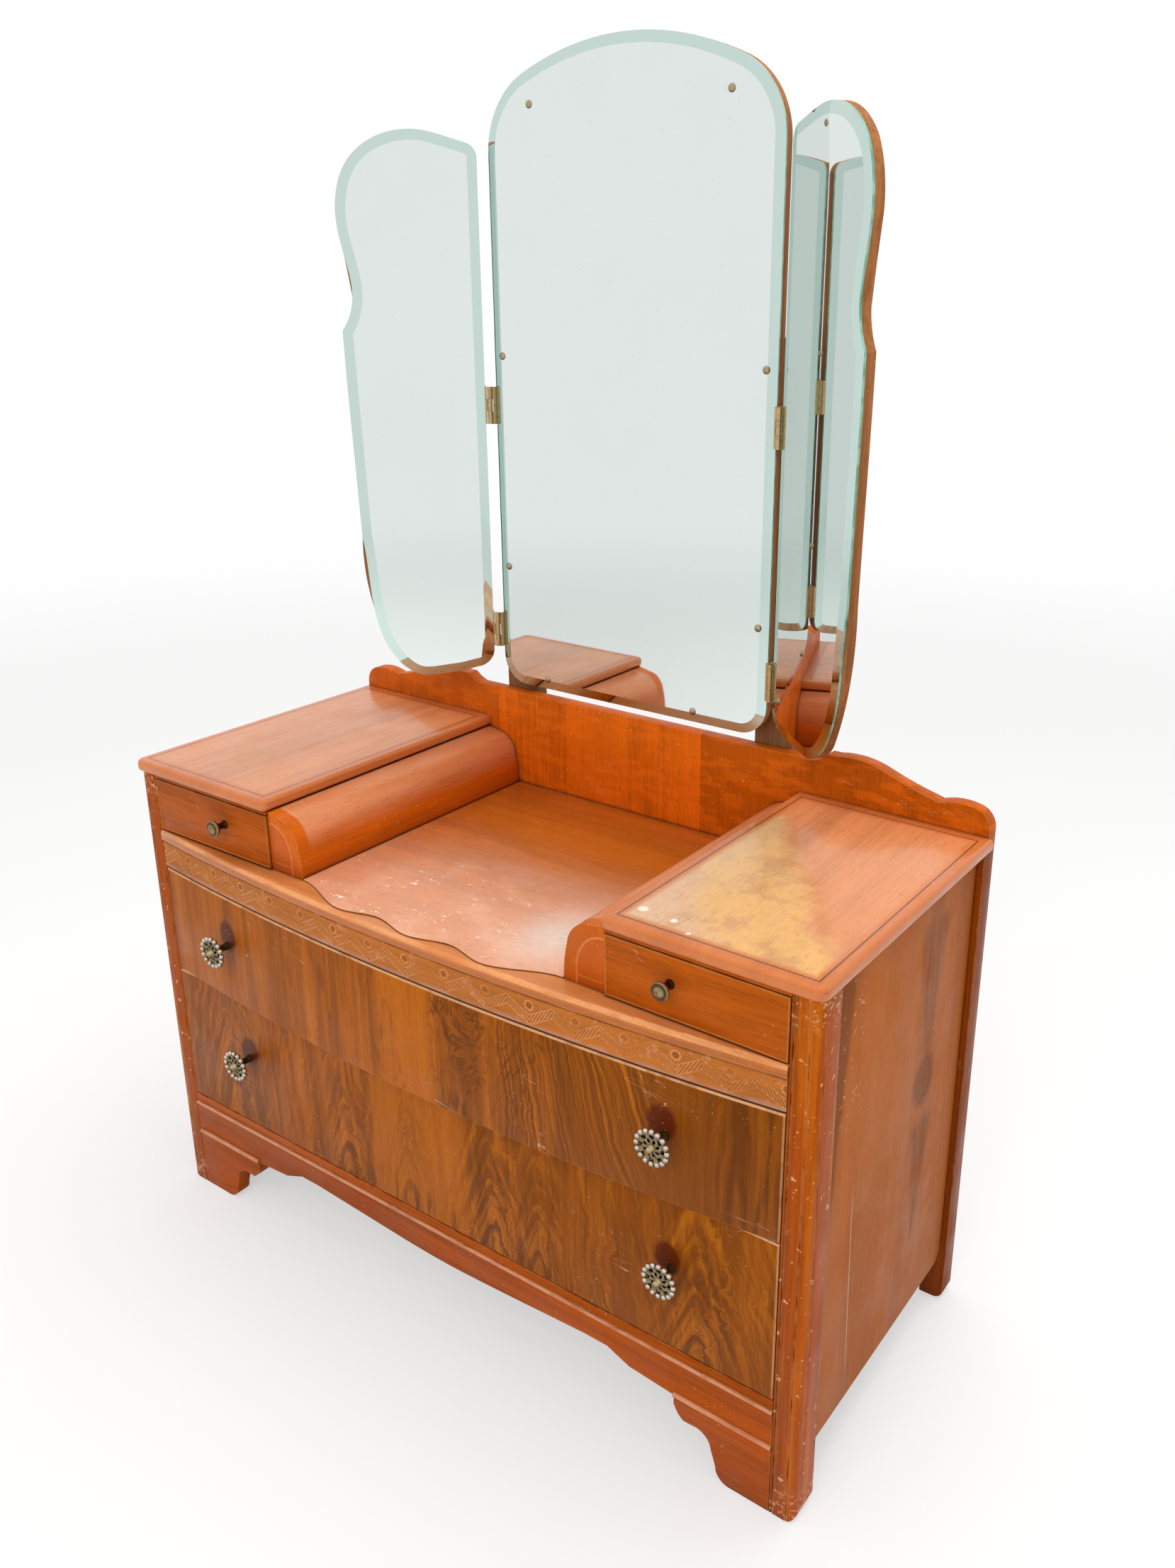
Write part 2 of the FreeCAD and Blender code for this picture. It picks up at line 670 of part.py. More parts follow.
def gallery_board():
    """The shaped board behind the deck and the pedestal tops."""
    rise = size["gallery_rise"]
    middle = table_top + size["gallery_middle"]
    step = rise - size["gallery_middle"]

    def half_outline(side):
        quirk = mirrored(GALLERY_QUIRK_SHARES, side, post_outer, step, middle)
        crown = mirrored(GALLERY_CROWN_SHARES, side, post_outer, rise, table_top)
        lobe = mirrored(GALLERY_LOBE_SHARES, side, post_outer, rise, table_top)
        return quirk, crown, lobe

    left_quirk, left_crown, left_lobe = half_outline(-1)
    right_quirk, right_crown, right_lobe = half_outline(1)
    start = (post_inner, deck_top)
    steps = line((post_inner, slab_bottom), (post_outer, slab_bottom), right_lobe[4])
    steps += arc(right_lobe[3], right_lobe[2])
    steps += arc(right_lobe[1], right_lobe[0])
    steps += line(right_crown[4])
    steps += arc(right_crown[3], right_crown[2])
    steps += arc(right_crown[1], right_crown[0])
    steps += line(*right_quirk[::-1], *left_quirk, left_crown[0])
    steps += arc(left_crown[1], left_crown[2])
    steps += arc(left_crown[3], left_crown[4])
    steps += line(left_lobe[0])
    steps += arc(left_lobe[1], left_lobe[2])
    steps += arc(left_lobe[3], left_lobe[4])
    steps += line((-post_outer, slab_bottom), (-post_inner, slab_bottom), (-post_inner, deck_top))
    place = (0, size["carcase_depth"], 0)
    board = upright("gallery_board", start, steps, size["gallery_thickness"], place)
    return keep(board, "gallery_board")


# Drawers
def drawer_box(name, left, right, front, depth, bottom, top):
    """The sides and back of a drawer, and the bottom that they hold."""
    wall = size["wall"]
    width = right - left
    steps = line(
        (0, depth),
        (width, depth),
        (width, 0),
        (width - wall, 0),
        (width - wall, depth - wall),
        (wall, depth - wall),
        (wall, 0),
    )
    frame = flat(name + "_frame", (0, 0), steps, top - bottom, (left, front, bottom))
    keep(frame, name + "_frame")
    place = (left + wall, front, bottom + size["bottom_groove"])
    base = box(name + "_bottom", width - wall * 2, depth - wall, size["drawer_bottom"], place)
    keep(base, name + "_bottom")


def pierced_knob(name, across, depth, height):
    """A turned brass knob with a pierced plate and a rim of pearls."""
    stem = size["knob_stem"]
    stand = size["knob_stand"]
    rim = size["knob_width"] / 2 - size["knob_pearl"]
    shoulder = stand + size["knob_plate"] / 2
    boss = size["knob_width"] / 2 * BOSS_SHARE
    tip = stand + size["knob_plate"] + size["knob_boss"]
    profile = ((0, 0), (stem, 0), (stem, -shoulder), (boss, -shoulder), (boss, -tip), (0, -tip))
    body = revolve(name, profile, (across, depth, height))
    add_pearls(body, rim, stand)
    pierce(body, tip)
    return keep(body, name)


def add_pearls(body, rim, stand):
    """The plate, its rim scalloped into pearls."""
    turn = 2 * math.pi / PEARLS
    reach = size["knob_width"] / 2
    hollow = rim + (reach - rim) / PEARLS

    def spot(radius, step):
        return (radius * math.cos(turn * step), radius * math.sin(turn * step))

    steps = []
    near, far = PEARL_SHOULDER_SHARES
    for pearl in range(PEARLS):
        steps += line(spot(reach, pearl + near), spot(reach, pearl + far), spot(hollow, pearl + 1))
    sketch = draw(body, "XZ_Plane", spot(hollow, 0), steps)
    sketch.AttachmentOffset = FreeCAD.Placement(
        FreeCAD.Vector(0, 0, number(stand)), FreeCAD.Rotation()
    )
    sketch.setExpression("AttachmentOffset.Base.z", formula(stand))
    return pad(body, sketch, size["knob_plate"])


def pierce(body, tip):
    """Lozenge holes through the plate in a ring."""
    ring = size["knob_width"] / 2 * PIERCED_RING_SHARE
    hole = size["knob_pierce"]
    sketch = draw(
        body,
        "XZ_Plane",
        (ring - hole, 0),
        line((ring, hole), (ring + hole, 0), (ring, -hole)),
    )
    pocket = body.newObject("PartDesign::Pocket", body.Name + "Hole")
    pocket.Profile = sketch
    pocket.Type = "Length"
    pocket.Length = number(tip)
    pocket.setExpression("Length", formula(tip))
    pocket.Reversed = True
    pattern = body.newObject("PartDesign::PolarPattern", body.Name + "Holes")
    pattern.Originals = [pocket]
    pattern.Axis = (plane_of(body, "Y_Axis"), [""])
    pattern.Angle = 360
    pattern.Occurrences = HOLES
    body.Tip = pattern


def plain_knob(name, across, height):
    """A turned mushroom knob."""
    radius = size["small_knob_width"] / 2
    reach = size["small_knob_reach"]
    outline = [(share_r * radius, -(share_y * reach)) for share_r, share_y in SMALL_KNOB_SHARES]
    profile = ((0, 0), *outline, (0, -reach))
    return keep(revolve(name, profile, (across, 0, height)), name)


def lower_drawer():
    half = post_inner - size["side_gap"]
    thickness = size["front_thickness"]
    place = (-half, 0, lower_front_bottom)
    front = box("lower_drawer_front", half * 2, thickness, size["lower_front_height"], place)
    keep(front, "lower_drawer_front")
    bottom = rail_top + size["running_gap"]
    top = dust_board_bottom - size["box_drop"]
    depth = rear_post_face - thickness - size["long_box_clearance"]
    drawer_box("lower_drawer", -half, half, thickness, depth, bottom, top)
    height = lower_front_bottom + size["lower_front_height"] / 2 + size["box_drop"] / 2
    for label, side in SIDES:
        pierced_knob("lower_drawer_knob_" + label, side * knob_place, 0, height)


def upper_drawer():
    """The bowed drawer, whose front follows the arc of the frieze above it."""
    half = post_inner - size["side_gap"]
    thickness = size["front_thickness"]
    place = (0, 0, upper_front_bottom)
    front = bowed_board("upper_drawer_front", thickness, size["upper_front_height"], place, half)
    keep(front, "upper_drawer_front")
    bottom = dust_board_bottom + size["board_thickness"] + size["running_gap"]
    top = upper_front_top - size["box_drop"]
    depth = rear_post_face - thickness - size["long_box_clearance"]
    drawer_box("upper_drawer", -half, half, thickness, depth, bottom, top)
    height = upper_front_bottom + size["upper_front_height"] / 2 + size["box_drop"] / 2
    for label, side in SIDES:
        pierced_knob("upper_drawer_knob_" + label, side * knob_place, -knob_seat, height)


def small_drawer(name, side):
    gap = size["side_gap"]
    near = block_outer + gap
    far = post_inner - gap
    left = near if side > 0 else -far
    right = far if side > 0 else -near
    thickness = size["small_front_thickness"]
    place = (left, 0, small_front_bottom)
    front = box(name + "_front", right - left, thickness, size["small_front_height"], place)
    keep(front, name + "_front")
    bottom = deck_top + size["running_gap"]
    top = small_front_top - size["box_drop"]
    depth = rear_post_face - thickness - size["small_box_clearance"]
    drawer_box(name, left, right, thickness, depth, bottom, top)
    height = small_front_bottom + size["small_front_height"] / 2 + size["front_gap"] * 3
    plain_knob(name + "_knob", side * size["small_knob_place"], height)


# Mirrors
def arch_steps(half, bottom):
    """The outline of the middle mirror: a three-centred arch over rounded lower corners."""
    crown = size["mirror_crown"]
    spring = crown - size["arch_rise"]
    big = size["mirror_arch"]
    corner = size["mirror_corner"]
    drop = crown - big
    rise = spring - drop
    small = (big * big - half * half - rise * rise) / ((big - half) * 2)
    lean = (half - small) / (big - small)
    climb = rise / (big - small)
    joint = (lean * big, drop + climb * big)
    middle = half - small
    half_lean = math.atan2(number(climb), number(lean)) / 2
    haunch = (middle + small * math.cos(half_lean), spring + small * math.sin(half_lean))
    slope = corner * (1 - math.sqrt(1 / 2))
    steps = line((half - corner, bottom))
    steps += arc((half - slope, bottom + slope), (half, bottom + corner))
    steps += line((half, spring))
    steps += arc(haunch, joint)
    steps += arc((0, crown), (-joint[0], joint[1]))
    steps += arc((-haunch[0], haunch[1]), (-half, spring))
    steps += line((-half, bottom + corner))
    steps += arc((-half + slope, bottom + slope), (-half + corner, bottom))
    return (-half + corner, bottom), steps


def bevel(body):
    """Grinds a bevel round the front face of a glass."""
    doc.recompute()
    blank = body.Tip
    faces = blank.Shape.Faces
    front = min(range(len(faces)), key=lambda index: faces[index].CenterOfMass.y)
    chamfer = body.newObject("PartDesign::Chamfer", body.Name + "Bevel")
    chamfer.Base = (blank, [f"Face{front + 1}"])
    chamfer.ChamferType = "Two distances"
    chamfer.Size = number(size["bevel_depth"])
    chamfer.setExpression("Size", formula(size["bevel_depth"]))
    chamfer.Size2 = number(size["glass_bevel"])
    chamfer.setExpression("Size2", formula(size["glass_bevel"]))
    return chamfer


def middle_mirror():
    start, steps = arch_steps(mirror_edge, size["mirror_bottom"])
    board = upright("mirror_board", start, steps, size["mirror_backing"], (0, mirror_back, 0))
    keep(board, "mirror_board")
    glass = upright("mirror_glass", start, steps, size["glass_thickness"], (0, backing_depth, 0))
    bevel(glass)
    keep(glass, "mirror_glass")


def mirror_supports():
    """Two standards up the back and two battens that carry the middle mirror."""
    width = size["standard_width"]
    height = size["standard_top"] - size["standard_bottom"]
    inner = size["standard_place"]
    for label, side in SIDES:
        left = side * (inner + width / 2) - width / 2
        place = (left, size["carcase_depth"], size["standard_bottom"])
        name = "mirror_standard_" + label
        keep(box(name, width, size["standard_thickness"], height, place), name)
    half = inner + width - size["batten_margin"] * 2
    depth = size["carcase_depth"] - mirror_back
    low = size["mirror_bottom"] + size["mirror_corner"]
    high = size["standard_top"] - size["batten_margin"] - size["batten_height"]
    for name, bottom in (("batten_lower", low), ("batten_upper", high)):
        keep(box(name, half * 2, depth, size["batten_height"], (-half, mirror_back, bottom)), name)


def turned(piece, side):
    """Turns a piece of a side mirror about its pin to the angle in the photograph."""
    angle = -size["right_angle"] if side > 0 else size["left_angle"]
    piece.Placement = FreeCAD.Placement(
        piece.Placement.Base, FreeCAD.Rotation(FreeCAD.Vector(0, 0, 1), number(angle))
    )
    piece.setExpression("Placement.Rotation.Angle", formula(angle))


def wing_outline(side, bend):
    """The side mirror as seen from the front, bent by arcs or curves, from its hinge edge."""
    width = size["wing_width"]
    height = size["wing_height"]
    base = size["wing_bottom"]
    near = size["wing_stand"] + size["hinge_leaf"]

    def shaped(shares):
        return [(side * (near + across * width), base + up * height) for across, up in shares]

    low = shaped(WING_LOW_SHARES)
    high = shaped(WING_HIGH_SHARES)
    steps = line(high[0])
    steps += arc(high[1], high[2])
    steps += bend(*shaped(WING_SHOULDER_SHARES), *shaped(WING_WAIST_SHARES))
    steps += arcs(*shaped(WING_FLANK_SHARES))
    steps += bend(*shaped(WING_FOOT_SHARES))
    steps += arc(low[0], low[1])
    return low[1], steps


def in_front_of_pin(piece, side, depth):
    """Places a piece of a side mirror by its distance behind the pin, then turns it."""
    angle = -size["right_angle"] if side > 0 else size["left_angle"]
    place = (side * pin_place - sine(angle) * depth, pin_depth + cosine(angle) * depth, 0)
    bind(piece, place, {})
    turned(piece, side)


def side_mirror(name, side):
    """A shaped board and the bevelled glass in front of it."""
    pieces = (
        ("_board", arcs, size["mirror_backing"], size["glass_thickness"] + size["mirror_backing"]),
        ("_glass", curve, size["glass_thickness"], size["glass_thickness"]),
    )
    for suffix, bend, thickness, depth in pieces:
        start, steps = wing_outline(side, bend)
        body = upright(name + suffix, start, steps, thickness, (0, 0, 0))
        if suffix == "_glass":
            bevel(body)
        in_front_of_pin(body, side, depth)
        keep(body, name + suffix)


def cylinder(name, radius, height, place):
    piece = doc.addObject("Part::Cylinder", name)
    bind(piece, place, {"Radius": radius, "Height": height})
    return piece


def hinge_leaf(name, side, middle, fixed):
    """One half of a butt hinge: a leaf on the board's edge and its share of the knuckles."""
    leaf = size["hinge_leaf"]
    pitch = size["hinge_height"] / KNUCKLES
    knuckle = pitch - size["knuckle_gap"]
    low = middle - size["hinge_height"] / 2
    start_depth = size["web_depth"] / KNUCKLES
    if fixed:
        near = -size["hinge_stand"]
        far = near - leaf
        length = size["pin_ahead"] + size["glass_thickness"] + size["mirror_backing"] - size["leaf_margin"]
    else:
        near = size["wing_stand"]
        far = near + leaf
        length = size["glass_thickness"] + size["mirror_backing"] - size["leaf_margin"]
    centre = side * pin_place

    def slab(label, inner, outer, depth, bottom, height):
        left = centre + side * (inner + outer) / 2 - spread(inner, outer) / 2
        place = (left, pin_depth + start_depth, bottom)
        return box(name + label, spread(inner, outer), depth - start_depth, height, place)

    shapes = [slab("_plate", near, far, length, low, size["hinge_height"])]
    for step in range(0 if fixed else 1, KNUCKLES, 2):
        bottom = low + pitch * step + size["knuckle_gap"] / 2
        shapes.append(slab(f"_web{step}", 0, near, size["web_depth"], bottom, knuckle))
        place = (centre, pin_depth, bottom)
        shapes.append(cylinder(f"{name}_knuckle{step}", size["knuckle_radius"], knuckle, place))
    if fixed:
        place = (centre, pin_depth, low + pitch / 2)
        height = size["hinge_height"] - pitch
        shapes.append(cylinder(name + "_pin", size["pin_radius"], height, place))
    whole = doc.addObject("Part::MultiFuse", name + "_solid")
    whole.Shapes = shapes
    if fixed:
        return keep(whole, name)
    radius = size["pin_radius"] + size["pin_clearance"]
    bore = cylinder(name + "_bore", radius, size["hinge_height"], (centre, pin_depth, low))
    cut = doc.addObject("Part::Cut", name + "_cut")
    cut.Base = whole
    cut.Tool = bore
    return turned_leaf(cut, name, side)


def spread(inner, outer):
    return outer - inner if number(outer) > number(inner) else inner - outer


def turned_leaf(cut, name, side):
    """Turns a moving leaf about its pin with its mirror."""
    doc.recompute()
    angle = number(-size["right_angle"] if side > 0 else size["left_angle"])
    pin = FreeCAD.Vector(number(side * pin_place), number(face_y + pin_depth), 0)
    cut.Placement = FreeCAD.Placement(
        FreeCAD.Vector(), FreeCAD.Rotation(FreeCAD.Vector(0, 0, 1), angle), pin
    )
    return keep(cut, name)


def hinges(label, side):
    for level, middle in (("lower", size["hinge_low"]), ("upper", size["hinge_high"])):
        hinge_leaf(f"hinge_{label}_{level}", side, middle, True)
        hinge_leaf(f"wing_{label}_leaf_{level}", side, middle, False)


def build():
    for label, side in SIDES:
        front_post("front_post_" + label, side)
        rear_post("rear_post_" + label, side)
        side_panel("side_panel_" + label, side)
        bracket_foot("bracket_foot_" + label, side)
        quadrant("quadrant_" + label, side)
        fascia("fascia_" + label, side)
        pedestal_top("pedestal_top_" + label, side)
    back_panel()
    bottom_board()
    dust_board()
    bottom_rail()
    frieze_board()
    deck_board()
    deck_overlay()
    gallery_board()
    lower_drawer()
    upper_drawer()
    for label, side in SIDES:
        small_drawer("small_drawer_" + label, side)
    mirror_supports()
    middle_mirror()
    for label, side in SIDES:
        side_mirror("wing_" + label, side)
        hinges(label, side)


def check_and_export():
    """Stops on any failed object, then writes each sub-part to its own file."""
    doc.recompute()
    failed = [item.Name for item in doc.Objects if "Invalid" in item.State or "Error" in item.State]
    if failed:
        raise RuntimeError("failed objects: " + ", ".join(failed))
    os.makedirs("parts", exist_ok=True)
    for piece in nodes:
        shape = piece.Shape
        if shape.isNull() or not shape.isValid() or len(shape.Solids) != 1:
            raise RuntimeError("bad shape: " + piece.Label)
        shape.exportStep(f"parts/{piece.Label}.step")
    print(len(nodes), "sub-parts written")


build()
check_and_export()
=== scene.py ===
import json
import math
from functools import partialmethod

import bmesh
import bpy
from mathutils import Matrix, Vector

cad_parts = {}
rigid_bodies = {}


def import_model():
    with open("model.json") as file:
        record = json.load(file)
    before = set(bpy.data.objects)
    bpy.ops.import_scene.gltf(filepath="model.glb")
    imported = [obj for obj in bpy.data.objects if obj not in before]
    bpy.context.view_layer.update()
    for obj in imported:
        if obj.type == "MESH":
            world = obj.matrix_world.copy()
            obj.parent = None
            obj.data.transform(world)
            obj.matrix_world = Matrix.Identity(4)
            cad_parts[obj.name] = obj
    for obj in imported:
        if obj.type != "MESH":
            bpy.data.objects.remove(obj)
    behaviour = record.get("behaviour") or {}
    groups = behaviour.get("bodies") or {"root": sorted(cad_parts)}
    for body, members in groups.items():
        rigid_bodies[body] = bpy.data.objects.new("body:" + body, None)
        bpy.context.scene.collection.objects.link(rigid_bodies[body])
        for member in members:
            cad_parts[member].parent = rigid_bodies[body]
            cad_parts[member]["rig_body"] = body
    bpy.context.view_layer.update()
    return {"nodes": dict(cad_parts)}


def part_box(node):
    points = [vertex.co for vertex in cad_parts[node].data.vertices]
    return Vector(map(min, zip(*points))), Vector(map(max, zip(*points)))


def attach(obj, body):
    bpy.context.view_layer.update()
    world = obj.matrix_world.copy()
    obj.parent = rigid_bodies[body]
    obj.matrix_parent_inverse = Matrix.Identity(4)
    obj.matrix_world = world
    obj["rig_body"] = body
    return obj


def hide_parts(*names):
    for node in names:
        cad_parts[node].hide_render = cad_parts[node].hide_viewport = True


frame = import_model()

bl_info = {
    "name": "Dressing table with mirror",
    "version": (1, 0, 0),
    "blender": (4, 5, 0),
    "location": "3D View > Sidebar > Dressing table",
    "description": "Dresses a walnut dressing table that carries a triple mirror",
    "category": "Object",
}

WELD = 0.00001
SIDES = ("left", "right")
SIGNS = {"left": -1, "right": 1}
WHITE = (1, 1, 1)


# Sizes and colours that a user may change

def colour_property(name, description, default):
    return bpy.props.FloatVectorProperty(
        name=name, description=description, default=default, subtype="COLOR", min=0, max=1, size=3
    )


def number_property(name, description, default, **more):
    return bpy.props.FloatProperty(name=name, description=description, default=default, **more)


def length_property(name, description, default):
    return number_property(name, description, default, unit="LENGTH")


def angle_property(name, description, degrees):
    return number_property(name, description, math.radians(degrees), subtype="ANGLE")


def count_property(name, description, default, least):
    return bpy.props.IntProperty(name=name, description=description, default=default, min=least)


class WoodColours(bpy.types.PropertyGroup):
    carcase: colour_property("Carcase", "Stained walnut of posts, feet and rails", (0.345, 0.059, 0.001))
    side: colour_property("Sides", "Veneer of the side boards", (0.388, 0.104, 0.018))
    top: colour_property("Tops", "Pedestal tops", (0.62, 0.220, 0.082))
    deck: colour_property("Deck", "Board between the pedestals", (0.53, 0.142, 0.021))
    panel: colour_property("Deck panel", "Raised panel on the deck", (0.52, 0.125, 0.012))
    gallery: colour_property("Gallery", "Gallery and quadrant blocks", (0.62, 0.115, 0.004))
    front: colour_property("Long drawer fronts", "Figured walnut veneer", (0.335, 0.083, 0.004))
    small_front: colour_property("Small drawer fronts", "Veneer of the small drawers", (0.37, 0.072, 0.003))
    bead: colour_property("Bead", "Bead round a small drawer front", (0.42, 0.115, 0.018))
    frieze: colour_property("Frieze", "Carved band under the deck", (0.45, 0.130, 0.013))
    edge: colour_property("Worn edges", "Where the stain is rubbed thin", (0.82, 0.34, 0.11))
    stain: colour_property("Dark figure", "Dark streaks of the walnut", (0.085, 0.021, 0.002))
    gold: colour_property("Light figure", "Golden streaks of the walnut", (0.54, 0.160, 0.006))
    inside: colour_property("Inside wood", "Unstained wood of the drawer boxes", (0.50, 0.28, 0.125))
    back: colour_property("Back wood", "Boards behind the table", (0.21, 0.096, 0.036))
    mirror_back: colour_property("Mirror boards", "Boards behind the glasses", (0.32, 0.125, 0.045))


class CarvingSizes(bpy.types.PropertyGroup):
    pitch: length_property("Pitch", "Length of one repeat of the carved band", 0.06206)
    height: length_property("Height", "Height of the carved band", 0.038)
    relief: length_property("Relief", "How far the carving stands out", 0.0012)
    repeats: count_property("Repeats", "Repeats along the band", 16, 1)
    bow_radius: length_property("Bow radius", "Radius of the bowed front", 4.1235)


class FittingSizes(bpy.types.PropertyGroup):
    pearls: count_property("Pearls", "Pearls round a pierced knob", 16, 3)
    pearl_radius: length_property("Pearl radius", "Radius of one pearl", 0.0035)
    knob_radius: length_property("Knob radius", "Pierced knob, middle to rim", 0.0231)
    clip_radius: length_property("Clip radius", "Clip that holds a mirror glass", 0.005)
    bead_radius: length_property("Bead radius", "Bead round a small drawer front", 0.0014)
    outer_corner: length_property("Outer corner", "Outer front corner of a pedestal top", 0.013)
    inner_corner: length_property("Inner corner", "Inner front corner of a pedestal top", 0.009)


class StudioSizes(bpy.types.PropertyGroup):
    place: bpy.props.FloatVectorProperty(
        name="Camera place", description="Where the camera stands", subtype="TRANSLATION", unit="LENGTH",
        default=(1.00606, -1.17248, 1.31149),
    )
    azimuth: angle_property("Azimuth", "Turn of the camera round the table", 33.773)
    elevation: angle_property("Elevation", "How far the camera looks down", 19.294)
    roll: angle_property("Roll", "Tilt of the camera", 0.693)
    lens: number_property("Lens", "Focal length on a 36 mm sensor", 29.553)
    shift: bpy.props.FloatVectorProperty(
        name="Shift", description="Camera shift across and up", size=2, default=(-0.0580, -0.0327)
    )
    floor: colour_property("Floor", "Colour of the floor", (0.93, 0.93, 0.92))
    background: colour_property("Background", "Colour behind the table", (1.0, 1.0, 1.0))
    whiteness: number_property("Whiteness", "How far the floor is shown plain white", 0.5, min=0, max=1)
    ambient: number_property("Ambient", "Light from all round", 0.72, min=0)
    key: number_property("Key", "Power of the large soft light", 50, min=0, subtype="POWER")
    overhead: number_property("Overhead", "Power of the light over the tops", 48, min=0, subtype="POWER")


def tone(key):
    """One of the wood colours, as plain numbers."""
    return tuple(getattr(bpy.context.scene.wood_colours, key))


def shade(colour, share):
    """A colour made lighter or darker by a share."""
    return tuple(min(1.0, part * share) for part in colour)


def toward(first, second, share):
    """A colour part of the way from one to another."""
    return tuple(a + (b - a) * share for a, b in zip(first, second))


# Node trees written as ordinary sums and calls

class Value:
    """An output of a node. Sums and products of it add Math nodes."""

    def __init__(self, nodes, socket):
        self.nodes = nodes
        self.socket = socket

    def math(self, operation, *others):
        return self.nodes.add("ShaderNodeMath", {"operation": operation}, 0, self, *others)

    __add__ = __radd__ = partialmethod(math, "ADD")
    __mul__ = __rmul__ = partialmethod(math, "MULTIPLY")
    __sub__ = partialmethod(math, "SUBTRACT")
    __truediv__ = partialmethod(math, "DIVIDE")
    __abs__ = partialmethod(math, "ABSOLUTE")
    power = partialmethod(math, "POWER")
    root = partialmethod(math, "SQRT")
    lower = partialmethod(math, "MINIMUM")
    upper = partialmethod(math, "MAXIMUM")

    def __rsub__(self, other):
        return self.nodes.add("ShaderNodeMath", {"operation": "SUBTRACT"}, 0, other, self)

    def other(self, name):
        """Another output of the same node."""
        return Value(self.nodes, self.socket.node.outputs[name])

    def rise(self, low, high):
        """0 below low, 1 above high, and smooth between them."""
        return self.nodes.add(
            "ShaderNodeMapRange", {"interpolation_type": "SMOOTHSTEP"}, 0,
            Value=self, From_Min=low, From_Max=high, To_Min=0.0, To_Max=1.0,
        )

    def hump(self, centre, half):
        """A soft hump, 1 at the centre and gone past twice the half width."""
        return (0 - ((self - centre) / half).power(2)).math("EXPONENT")

    def within(self, low, high, soft):
        """1 between low and high, with soft ends."""
        return self.rise(low - soft, low) * (1 - self.rise(high, high + soft))


class Nodes:
    """A node tree that is made node by node."""

    def __init__(self, tree):
        self.tree = tree
        self.tree.nodes.clear()

    def find(self, sockets, key):
        for socket in sockets:
            if key in (socket.identifier, socket.name.replace(" ", "_")) and socket.enabled:
                return socket
        raise KeyError(key)

    def join(self, socket, value):
        if isinstance(value, Value):
            self.tree.links.new(value.socket, socket)
        elif socket.type == "RGBA" and len(value) == 3:
            socket.default_value = (*value, 1)
        else:
            socket.default_value = value

    def add(self, kind, settings, give, *values, **named):
        """One node: its settings first, then its values or links. Gives back one of its outputs, if any."""
        node = self.tree.nodes.new(kind)
        for key, setting in settings.items():
            if key == "stops":
                self.set_stops(node.color_ramp, setting)
            else:
                setattr(node, key, setting)
        for index, value in enumerate(values):
            self.join(node.inputs[index], value)
        for key, value in named.items():
            self.join(self.find(node.inputs, key), value)
        return None if give is None else Value(self, node.outputs[give])

    def set_stops(self, ramp, stops):
        while len(ramp.elements) < len(stops):
            ramp.elements.new(0.5)
        for element, (place, colour) in zip(ramp.elements, stops):
            element.position = place
            element.color = (*colour, 1)

    def vector(self, x, y, z):
        return self.add("ShaderNodeCombineXYZ", {}, 0, x, y, z)


class Finish(Nodes):
    """A material that is painted layer by layer, over its place on the object."""

    COAT_ROUGHNESS = 0.12

    def __init__(self, name):
        self.material = bpy.data.materials.new(name)
        self.material.use_nodes = True
        super().__init__(self.material.node_tree)
        self.where = self.add("ShaderNodeTexCoord", {}, "Object")
        self.x = self.add("ShaderNodeSeparateXYZ", {}, "X", Vector=self.where)
        self.y, self.z = self.x.other("Y"), self.x.other("Z")
        self.colour = None

    def noise(self, scale, detail=2.0, roughness=0.5, distortion=0.0, where=None):
        return self.add(
            "ShaderNodeTexNoise", {}, "Fac", Vector=where or self.where, Scale=scale, Detail=detail,
            Roughness=roughness, Distortion=distortion,
        )

    def streaks(self, x, y, z, detail=2.0, roughness=0.5, distortion=0.0, scale=1):
        """Noise over a place that is stretched or bent first."""
        return self.noise(scale, detail, roughness, distortion, self.vector(x, y, z))

    def attribute(self, name):
        return self.add("ShaderNodeAttribute", {"attribute_name": name}, "Fac")

    def blend(self, share, first, second):
        return self.add(
            "ShaderNodeMix", {"data_type": "RGBA"}, 2, Factor_Float=share, A_Color=first, B_Color=second
        )

    def start(self, first, *stops):
        """The first layer: a ramp of stops over a value, or without stops one plain colour."""
        self.colour = self.add("ShaderNodeValToRGB", {"stops": stops}, "Color", first) if stops else first

    def paint(self, share, colour):
        """One more layer over the colour so far."""
        self.colour = self.blend(share, self.colour, colour)

    def edges(self, radius):
        """1 along an edge or a corner and 0 on a flat face."""
        soft = self.add("ShaderNodeBevel", {"samples": 4}, 0, Radius=radius)
        plain = self.add("ShaderNodeNewGeometry", {}, "Normal")
        match = self.add("ShaderNodeVectorMath", {"operation": "DOT_PRODUCT"}, "Value", soft, plain)
        return (1 - match).rise(0.02, 0.22)

    def darkening(self, reach):
        """1 deep in a corner or a groove and 0 in the open: where painted shade goes."""
        open_share = self.add("ShaderNodeAmbientOcclusion", {"samples": 6}, "AO", Distance=reach)
        return 1 - open_share.rise(0.25, 0.80)

    def close(self, roughness, height, relief, coat=0.0, metallic=0.0, shine=0.5, glow=WHITE):
        bump = self.add("ShaderNodeBump", {}, 0, Strength=1.0, Distance=relief, Height=height)
        shader = self.add(
            "ShaderNodeBsdfPrincipled", {}, 0, Base_Color=self.colour, Roughness=roughness,
            Metallic=metallic, Specular_IOR_Level=shine, Specular_Tint=glow, Coat_Weight=coat,
            Coat_Roughness=self.COAT_ROUGHNESS, Normal=bump,
        )
        return self.output(shader)

    def output(self, shader):
        self.add("ShaderNodeOutputMaterial", {}, None, Surface=shader)
        return self.material


# Woods

